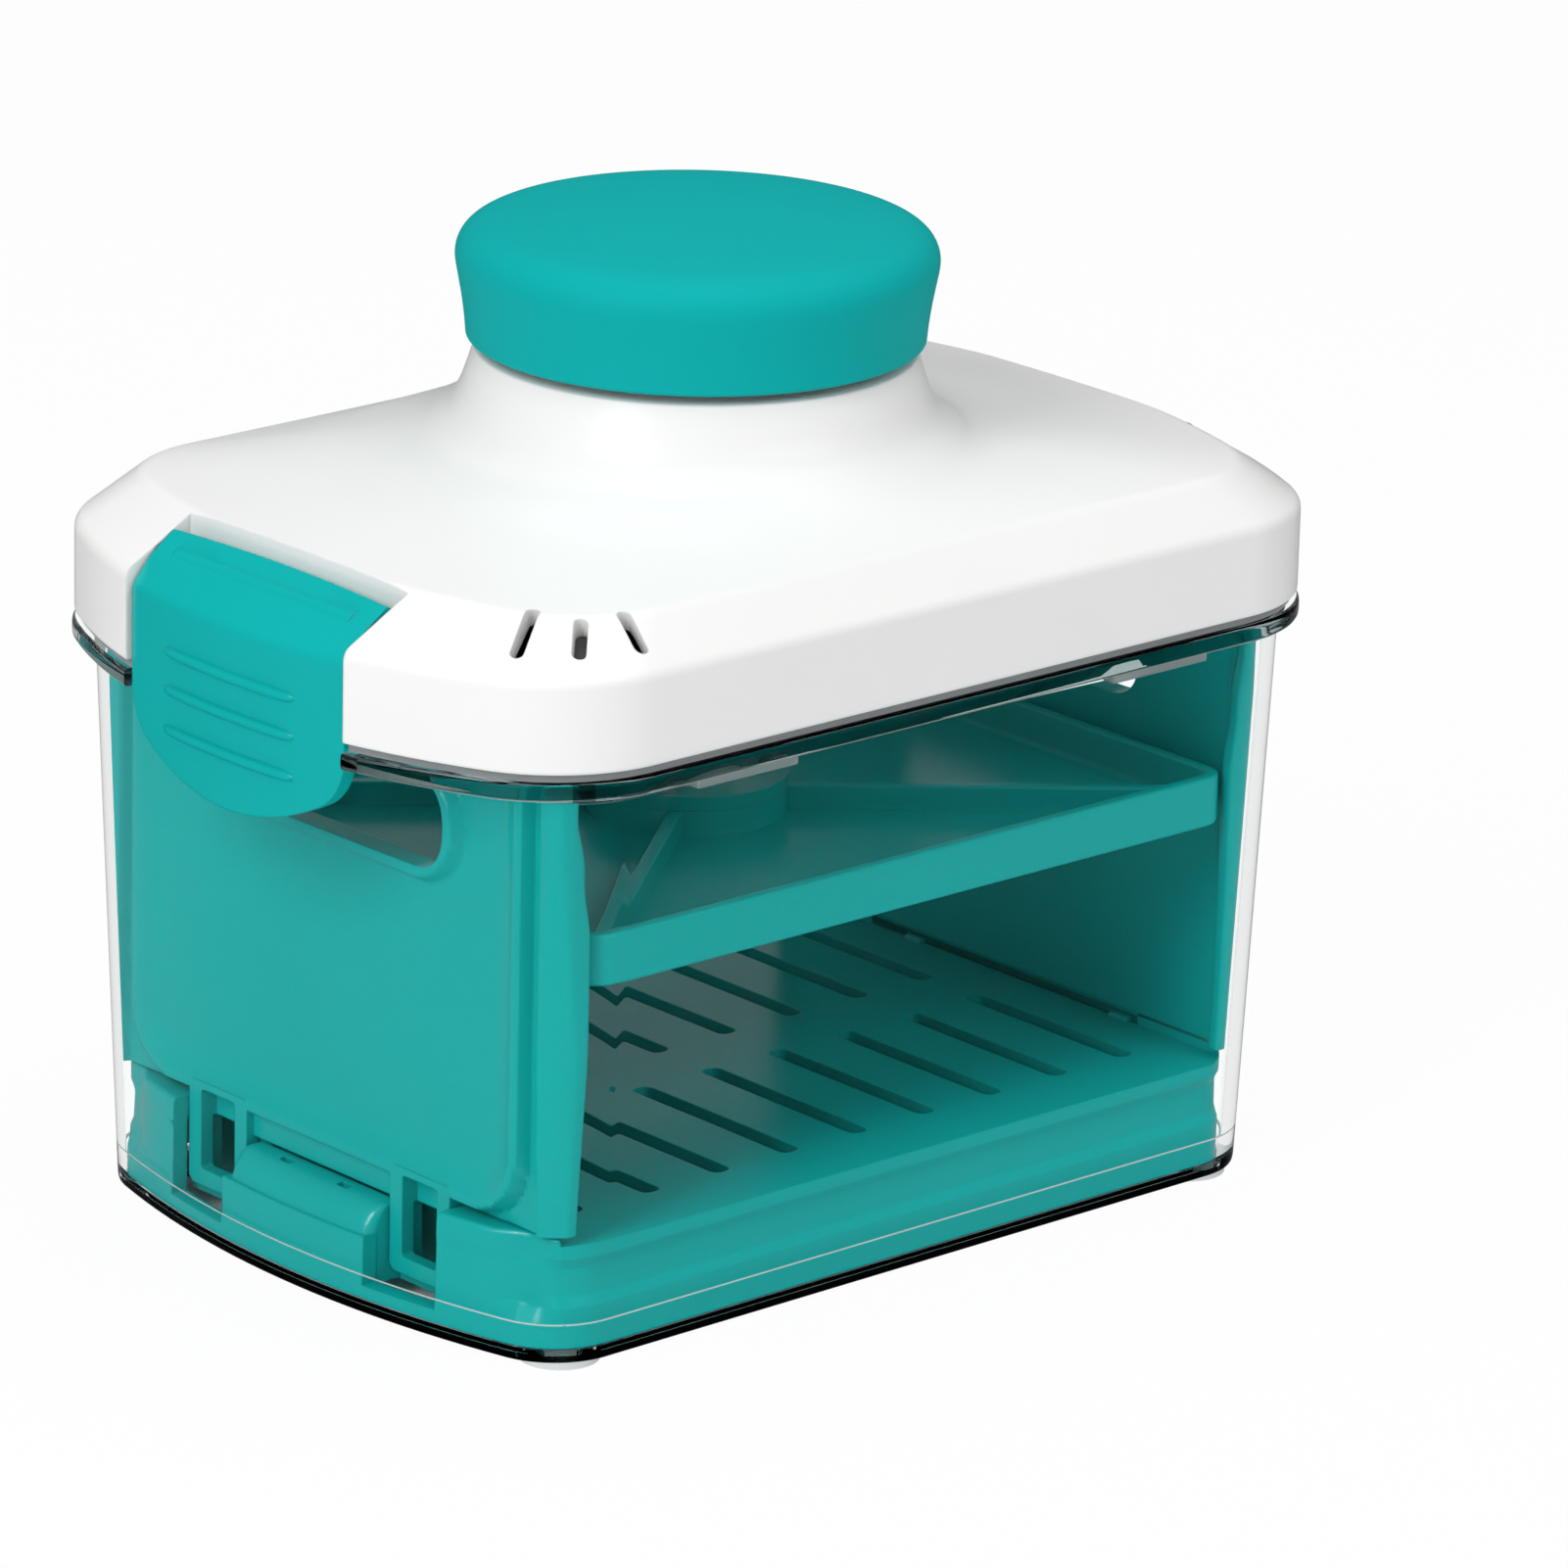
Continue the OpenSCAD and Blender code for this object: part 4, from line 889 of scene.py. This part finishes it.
def make_latch():
    """Latch for the left end: a bowed sheet that folds in at its top, ribs, knuckle and catch."""
    n = 40
    rings = []
    for k in range(n + 1):
        y = (LATCH_W / 2 + 1) * (2 * k / n - 1)
        line = round_line(latch_line(y), [0, 0, 0, 2.2, 4.0, 0.6, 0.5, 1.2, 0, 0], 6)
        rings.append([Vector((-x, y, z)) for x, z in line])
    sheet = loft("latch", rings)
    boolean(sheet, [prism("front", latch_front(), "x", -LATCH_X - 5, -PIN_X + 8)], "INTERSECT")
    adds = [grip_rib(LATCH_Z + z) for z in RIB_ZS]
    adds.append(rod("knuckle", (-PIN_X, -KNUCKLE_HALF, PIN_Z), (-PIN_X, KNUCKLE_HALF, PIN_Z), KNUCKLE_R, 40))
    back = -latch_face(LATCH_W / 2) + LATCH_T - 0.6
    web = [(-PIN_X, PIN_Z - 1.7), (-PIN_X - 1.2, PIN_Z + 0.6), (back, BEND_Z + 0.4), (back, BEND_Z - 1.6)]
    adds.append(prism("web", web, "y", -KNUCKLE_HALF, KNUCKLE_HALF))
    back, top = -latch_face(CATCH_HALF) + LATCH_T - 0.8, FLANGE_BOTTOM - 0.2
    catch = [(back, top), (-CATCH_X, top), (-CATCH_X - 0.3, top - 1.6), (back, top - 4.6)]
    adds.append(prism("catch", catch, "y", -CATCH_HALF, CATCH_HALF, 0.25))
    boolean(sheet, adds, "UNION")
    return boolean(sheet, [rod("bore", (-PIN_X, -30, PIN_Z), (-PIN_X, 30, PIN_Z), PIN_R, 40)])


def make_latches():
    left = make_latch()
    right = mirrored(left, "latch_r_piece")
    left.name = "latch_l_piece"
    piece(left, TEAL, "latch_l", "latch_left")
    piece(right, TEAL, "latch_r", "latch_right")


# End walls
def border_distance(y, z):
    """Signed distance from the middle of the raised border, positive outside it."""
    dy, dz = abs(y) - (BORDER_HALF - BORDER_R), (BORDER_LOW + BORDER_R) - z
    if dy > 0 and dz > 0:
        return math.hypot(dy, dz) - BORDER_R
    return max(dy, dz) - BORDER_R


def grip_distance(y, z):
    """Signed distance from the edge of the finger slot, positive outside it."""
    dy = abs(y) - (GRIP_HALF - GRIP_ROUND)
    dz = abs(z - (GRIP_LOW + GRIP_TOP) / 2) - ((GRIP_TOP - GRIP_LOW) / 2 - GRIP_ROUND)
    return math.hypot(max(dy, 0), max(dz, 0)) + min(max(dy, dz), 0) - GRIP_ROUND


def wall_face(y, z):
    """Distance of the outer face of an end wall from the middle."""
    d = border_distance(y, z)
    x = PANEL_X
    if -SWELL_W < d <= -BORDER_W:
        x += SWELL_H * ((d + SWELL_W) / (SWELL_W - BORDER_W)) ** 2
    elif -BORDER_W < d <= BORDER_W:
        x = BORDER_X - 0.1 * (d / BORDER_W) ** 2
    elif d > BORDER_W:
        x = BORDER_X - 0.1 - 1.9 * step(d, BORDER_W, 2 * BORDER_W)
    e = grip_distance(y, z)
    if e < 2 * RAISED_W:
        x = max(x, PANEL_X + RAISED_H * (1 - step(e, RAISED_W, 2 * RAISED_W)))
    w = abs(y)
    if w > COLUMN_Y:
        x = max(x, COLUMN_X - 1.6 + 1.6 * step(w, COLUMN_Y, COLUMN_Y + 1))
    if w > COLUMN_END:
        x -= COLUMN_R - math.sqrt(max(0.0, COLUMN_R ** 2 - (w - COLUMN_END) ** 2))
    return x


def wing_tip(z):
    """How far a wing's tip stays from the middle at height z."""
    swept = 1.0 * step(z, 57.8, 65.8) + 1.8 * step(z, 67, END_TOP)
    return WING_TIP - 0.5 * step(z, END_BOTTOM, 46) + swept


def wall_ring(z):
    """Section of the left end wall at height z: outer face, wing and inner face."""
    d = flare_at(z) - WALL_T - END_GAP
    y_end = min(END_B, box_width(WING_X, d))
    half = []
    for y in WALL_YS:
        w = y * y_end / WALL_YS[-1] if y > 41 else y
        half.append((min(wall_face(w, z), box_reach(w, d)), w))
    x_end = half[-1][0]
    tip = min(wing_tip(z), x_end - 1.2)
    half += [(x_end + (tip + TIP_R - x_end) * i / 3, y_end) for i in (1, 2, 3)]
    for angle in (30, 60, 90):
        y, x = around(TIP_R, angle)
        half.append((tip + TIP_R - x, y_end - TIP_R + y))
    half += [(tip, y_end - 1.6), (tip + 0.15, y_end - 2.1), (tip + 0.5, y_end - 2.4),
             (tip + 0.9, y_end - 2.5)]
    xs = [PANEL_IN - 1.2, PANEL_IN - 0.5, PANEL_IN - 0.1]
    if tip > PANEL_IN - 1.4:
        xs = [tip + (PANEL_IN - tip) * share for share in (0.3, 0.6, 0.9)]
    half += zip(xs, (y_end - 2.7, y_end - 3.0, y_end - 3.6))
    half += [(PANEL_IN, y_end - 4.4), (PANEL_IN, 30), (PANEL_IN, 10)]
    full = [(-x, y) for x, y in half] + [(-x, -y) for x, y in reversed(half[1:])]
    return lift(full, z)


def make_end_wall():
    rows = range(WALL_ROWS + 1)
    rings = [wall_ring(END_BOTTOM + (END_TOP - END_BOTTOM) * k / WALL_ROWS) for k in rows]
    o = loft("end_wall", rings, angle=WALL_SHARP)
    adds = []
    finger = rounded_rect(-GRIP_HALF, GRIP_HALF, GRIP_LOW, GRIP_TOP, GRIP_R, 12)
    cuts = [prism("finger", finger, "x", -64, -56)]
    for s in (-1, 1):
        y = s * LOOP_Y
        loop = rounded_rect(y - LOOP_W / 2, y + LOOP_W / 2, LOOP_BOTTOM, LOOP_TOP, 0.8, 4)
        window = rounded_rect(y - WINDOW_W / 2, y + WINDOW_W / 2, WINDOW_BOTTOM, WINDOW_TOP, 0.6, 4)
        adds.append(prism("loop", loop, "x", -LOOP_X, -LOOP_IN, 0.35))
        cuts.append(prism("window", window, "x", -64, -59.4))
    apron = [(-APRON_HALF, APRON_BOTTOM), (APRON_HALF, APRON_BOTTOM), (APRON_HALF, APRON_TOP),
             (-APRON_HALF, APRON_TOP)]
    adds.append(prism("apron", round_line(apron, [0.6, 0.6, 0, 0], 4), "x", -APRON_X, -APRON_IN, 0.2))
    boolean(o, adds, "UNION", WALL_SHARP)
    return boolean(o, cuts, angle=WALL_SHARP)


def make_end_walls():
    left = make_end_wall()
    right = mirrored(left, "end_wall_r_piece", WALL_SHARP)
    left.name = "end_wall_l_piece"
    piece(left, TEAL, "cradle", "end_wall_left")
    piece(right, TEAL, "cradle", "end_wall_right")


# Drain tray
def tray_ring(z, side, end, inset):
    """Tray outline with its own offsets along the sides and at the ends, and inset in the corners."""
    out = []
    for p, q, r in zip(box_ring(side, z), box_ring(end, z), box_ring(end - inset, z)):
        at_corner = step(abs(p.x), 58, 63) * step(abs(p.y), 35, 41)
        out.append(p.lerp(q, step(abs(p.x), 57, 64)).lerp(r, at_corner))
    return out


def make_tray():
    stack = [box_ring(CAP_D, FLOOR_TOP + 0.1), box_ring(-2.9, FLOOR_TOP + 0.1)]
    stack += [tray_ring(*row, 0) for row in TRAY_LIP]
    stack += [tray_ring(*row, CORNER_IN) for row in TRAY_SIDE]
    stack.append(box_ring(CAP_D, BLOCK_TOP))
    o = loft("tray", fillet(stack, [0, 0, 0.1, 0.1, 0.2, 1.4, 1.4, 0.9, 0.7, 0.8, 0]))
    boolean(o, tray_cuts())
    parts = [o]
    for s in (-1, 1):
        parts.append(make_hump(s))
        lo, hi = span(s, UNDER_IN, UNDER_OUT)
        parts.append(block("rib", (lo, -UNDER_Y, TRAY_BOTTOM), (hi, UNDER_Y, DECK_Z - DECK_T + 0.1), 0.2))
        for t in (-1, 1):
            parts += hinge_seat(s, t * LOOP_Y)
    piece(join("tray_piece", parts), TEAL, "cradle", "drain_tray")


def tray_cuts():
    """Hollow and deck level, the room round the humps and loops, and the drain slots."""
    cuts = [prism("hollow", ring(*BOX, HOLLOW_D), "z", 2, DECK_Z - DECK_T),
            block("deck", (-DECK_X, -60, DECK_Z), (DECK_X, 60, OVER_TRAY), 0)]
    for s in (-1, 1):
        outline = rounded_rect(-END_CUT_HALF, END_CUT_HALF, END_CUT_Z, OVER_TRAY, 1.2, 5)
        cuts.append(prism("end", outline, "x", *span(s, PAST_END, DECK_X)))
        lo, hi = span(s, PAST_END, CHEEK_OUT)
        for t in (-1, 1):
            y0, y1 = t * LOOP_Y - LOOP_W / 2 - 0.3, t * LOOP_Y + LOOP_W / 2 + 0.3
            cuts.append(block("notch", (lo, y0, 4.4), (hi, y1, OVER_TRAY), 0))
    half = DRAIN_W / 2
    for i in range(DRAIN_COUNT):
        x = (i - DRAIN_COUNT // 2) * DRAIN_PITCH
        for y in (-DRAIN_Y, DRAIN_Y):
            outline = rounded_rect(x - half, x + half, y - DRAIN_HALF, y + DRAIN_HALF, half - 0.05)
            cuts.append(prism("drain", outline, "z", 10, 20))
    return cuts


def hinge_seat(s, y):
    """Open cheek and lug behind one window of an end wall's loop."""
    reach = LOOP_W / 2 + 2.3
    lo, hi = span(s, CHEEK_OUT, CHEEK_IN)
    cheek = block("cheek", (lo, y - reach, TRAY_BOTTOM), (hi, y + reach, HUMP_TOP))
    lo, hi = span(s, 61, 56)
    boolean(cheek, [block("gap", (lo, y - 4.6, 6.2), (hi, y + 4.6, OVER_TRAY), 0)])
    lo, hi = span(s, LUG_OUT, LUG_IN)
    return [cheek, block("lug", (lo, y - LUG_FAR, LUG_BOTTOM), (hi, y - LUG_NEAR, LUG_TOP))]


def hump_pull(y, half):
    """How far a hump's rounded end draws in at width y."""
    end = max(0.0, (abs(y) - (half - HUMP_R)) / HUMP_R)
    return HUMP_R * (1 - math.sqrt(max(0.0, 1 - end * end)))


def make_hump(s):
    """Rounded bulge between the hinge loops, with two slits in its upper edge."""
    half = LOOP_Y - LOOP_W / 2 - 0.4
    n = 48
    ys = [-half * math.cos(math.pi * k / n) for k in range(n + 1)]
    rings, foot = [], [(HUMP_X, half), (HUMP_X, -half)]
    for y in ys:
        pull = hump_pull(y, half)
        reach = box_reach(abs(y), HUMP_D) - pull
        foot.append((reach, y))
        h = HUMP_TOP - HUMP_LOW - 0.35 * pull
        profile = [(HUMP_X, HUMP_LOW), (HUMP_X, HUMP_LOW + h - 0.5), (HUMP_FLAT, HUMP_LOW + h)]
        for i in range(1, 15):
            w = math.radians(90 * i / 14)
            out, up = (reach - HUMP_TURN) * math.sin(w), h * max(0.0, math.cos(w)) ** 0.85
            profile.append((HUMP_TURN + out, HUMP_LOW + up))
        rings.append([Vector((s * x, y, z)) for x, z in profile])
    o = loft("hump", rings, angle=ROUND_SHARP)
    skirt = [[Vector((s * x, y, z)) for x, y in foot] for z in (HUMP_FOOT, HUMP_LOW + 0.02)]
    boolean(o, [loft("skirt", skirt)], "UNION", ROUND_SHARP)
    lo, hi = span(s, HUMP_TURN, SLIT_X)
    slits = []
    for y in (-SLIT_Y, SLIT_Y):
        slits.append(block("slit", (lo, y - SLIT_HALF, SLIT_Z), (hi, y + SLIT_HALF, 17), 0))
    return boolean(o, slits, angle=ROUND_SHARP)


# Press plate and rod
def rect_ring(a, b, r, z):
    points = []
    for cx, cy, start in ((a - r, b - r, 0), (r - a, b - r, 90), (r - a, r - b, 180), (a - r, r - b, 270)):
        for i in range(11):
            x, y = around(r, start + 9 * i)
            points.append(Vector((cx + x, cy + y, z)))
    return points


def make_plate():
    a, b, t = PLATE_A, PLATE_B, PLATE_T
    low, top, floor = PLATE_Z, PLATE_Z + PLATE_H, PLATE_Z + PLATE_T
    stack = [rect_ring(a - 8, b - 8, 1, low), rect_ring(a, b, 4, low), rect_ring(a, b, 4, top),
             rect_ring(a - t, b - t, 2.3, top), rect_ring(a - t - 0.2, b - t - 0.2, 2.2, floor),
             rect_ring(a - 8, b - 8, 1, floor)]
    o = loft("plate", fillet(stack, [0, 0.6, 0.5, 0.4, 0.9, 0]))
    angle = math.atan(b / a)
    reach = RIB_SHARE * math.hypot(a - t, b - t)
    adds = []
    for s in (-1, 1):
        along = Vector((math.cos(angle), s * math.sin(angle)))
        across = Vector((-along.y, along.x))
        far = along * reach
        outline = [tuple(p) for p in (far + across, across - far, -far - across, far - across)]
        adds.append(prism("rib", outline, "z", low + 0.5, low + RIB_TOP, 0.3))
    adds.append(rod("boss", (0, 0, low + 0.5), (0, 0, BOSS_TOP), PLATE_BOSS_R, 96))
    boolean(o, adds, "UNION")
    cuts = [rod("seat", (0, 0, floor), (0, 0, 60), SEAT_R, 96)]
    for w in (90, 210, 330):
        x, y = around(PLATE_BORE_AT, w)
        cuts.append(rod("bore", (x, y, PLATE_BORE_Z), (x, y, BOSS_TOP + 1), PLATE_BORE_R, 24))
    boolean(o, cuts)
    piece(o, TEAL, "press", "press_plate")


def thread_reach(share, z):
    """Radius of the threaded stem at a share of the turn and height z."""
    w = abs((share - z / LEAD) % 1.0 * 2 - 1)
    return ROOT_R + (ROD_R - ROOT_R) * step(w, 0.25, 0.6)


def rod_ring(z, r=None):
    """Section of the rod at height z: a circle, or the thread where no radius is given."""
    points = []
    for i in range(ROD_STEPS):
        reach = thread_reach(i / ROD_STEPS, z) if r is None else r
        w = 2 * math.pi * i / ROD_STEPS
        points.append(Vector((reach * math.cos(w), reach * math.sin(w), z)))
    return points


def make_rod():
    """Foot disc, threaded stem and flatted top."""
    rings = [rod_ring(z, r) for r, z in ROD_FOOT]
    levels = int((THREAD_TOP - THREAD_LOW) / THREAD_STEP)
    for k in range(levels + 1):
        rings.append(rod_ring(THREAD_LOW + (THREAD_TOP - THREAD_LOW) * k / levels))
    rings += [rod_ring(NECK_Z, NECK_R), rod_ring(NECK_TOP, NECK_R)]
    o = loft("rod_piece", rings, angle=ROUND_SHARP)
    top = prism("top", [around(FLATTED_R, w) for w in range(0, 360, 5)], "z", NECK_Z - 0.1, FLATTED_TOP, 0.4)
    for s in (-1, 1):
        lo, hi = span(s, FLAT_X, 7)
        boolean(top, [block("flat", (lo, -8, 117), (hi, 8, 130), 0)])
    boolean(o, [top], "UNION", ROUND_SHARP)
    boolean(o, [rod("bore", (0, 0, NECK_Z + 0.1), (0, 0, 130), ROD_BORE_R, 24)], angle=ROUND_SHARP)
    piece(o, WHITE, "knob", "press_rod")


# Stage and light
def direct_ray(m, path):
    """1 for a camera ray or one that only passed through clear plastic, less for one reflected on the way.

    Reflected inside the first wall it keeps most of the backdrop, farther in it sees a dim room."""
    deep = m.ranged((path, "Transmission Depth"), 0.15, 0.96, 2.0, 3.0)
    loss = m.math("MULTIPLY", (path, "Glossy Depth"), deep)
    through = m.math("MULTIPLY", (path, "Is Transmission Ray"), m.ranged(loss, 1.0, 0.0))
    mirror = m.math("MULTIPLY", (path, "Is Singular Ray"), 0.35)
    glossy = m.math("MULTIPLY", mirror, (path, "Is Glossy Ray"))
    return m.math("MAXIMUM", (path, "Is Camera Ray"), m.math("MAXIMUM", through, glossy))


def shiny_ray(m, path):
    return m.math("MAXIMUM", (path, "Is Glossy Ray"), (path, "Is Transmission Ray"))


def make_stage():
    """Pale floor: nearly white where it is seen, with its true shade where the box stands over it."""
    bm = bmesh.new()
    bmesh.ops.create_grid(bm, x_segments=8, y_segments=8, size=4)
    floor = from_bmesh("floor", bm)
    m = Mat("floor")
    true = m.node("ShaderNodeBsdfDiffuse", Color=(0.86, 0.86, 0.86, 1))
    white = m.node("ShaderNodeEmission", Strength=1.0)
    black = m.node("ShaderNodeEmission", Strength=0.0)
    path = m.node("ShaderNodeLightPath")
    place = m.node("ShaderNodeSeparateXYZ", (m.node("ShaderNodeTexCoord"), "Object"))
    inside = []
    for axis, reach in (("X", BOX_SHADE_X), ("Y", BOX_SHADE_Y)):
        inside.append(m.math("LESS_THAN", m.math("ABSOLUTE", (place, axis)), reach))
    through = m.blend(m.math("MULTIPLY", *inside), white, true)
    seen = m.blend((path, "Is Camera Ray"), through, m.blend(FLOOR_WHITE, true, white))
    other = m.blend(shiny_ray(m, path), true, black)
    floor.data.materials.append(m.finish(m.blend(direct_ray(m, path), other, seen)))


def make_world():
    w = bpy.data.worlds.new("world")
    bpy.context.scene.world = w
    w.use_nodes = True
    m = Tree(w.node_tree)
    kind, colour = "ShaderNodeBackground", (1, 1, 1, 1)
    seen, fill, dim = (m.node(kind, Color=colour, Strength=s) for s in (SEEN, FILL, DIM))
    path = m.node("ShaderNodeLightPath")
    other = m.blend(shiny_ray(m, path), fill, dim)
    m.node("ShaderNodeOutputWorld", m.blend(direct_ray(m, path), other, seen))


def make_lamp(name, at, size, power):
    data = bpy.data.lights.new(name, "AREA")
    data.shape = "RECTANGLE"
    data.size, data.size_y = size
    data.energy = power
    lamp = link(name, data)
    lamp.location = at
    lamp.rotation_mode = "QUATERNION"
    lamp.rotation_quaternion = (LAMP_TARGET - Vector(at)).to_track_quat("-Z", "Y")


make_camera()
for finish, *names in CAD_FINISH:
    for node_name in names:
        dress(nodes[node_name], finish)
        shade(nodes[node_name], CAD_SHARP)
make_container()
make_lid()
make_knob()
make_latches()
make_end_walls()
make_tray()
make_plate()
make_rod()
make_stage()
make_world()
for lamp in LAMPS:
    make_lamp(*lamp)
bpy.context.scene.view_settings.view_transform = "Standard"
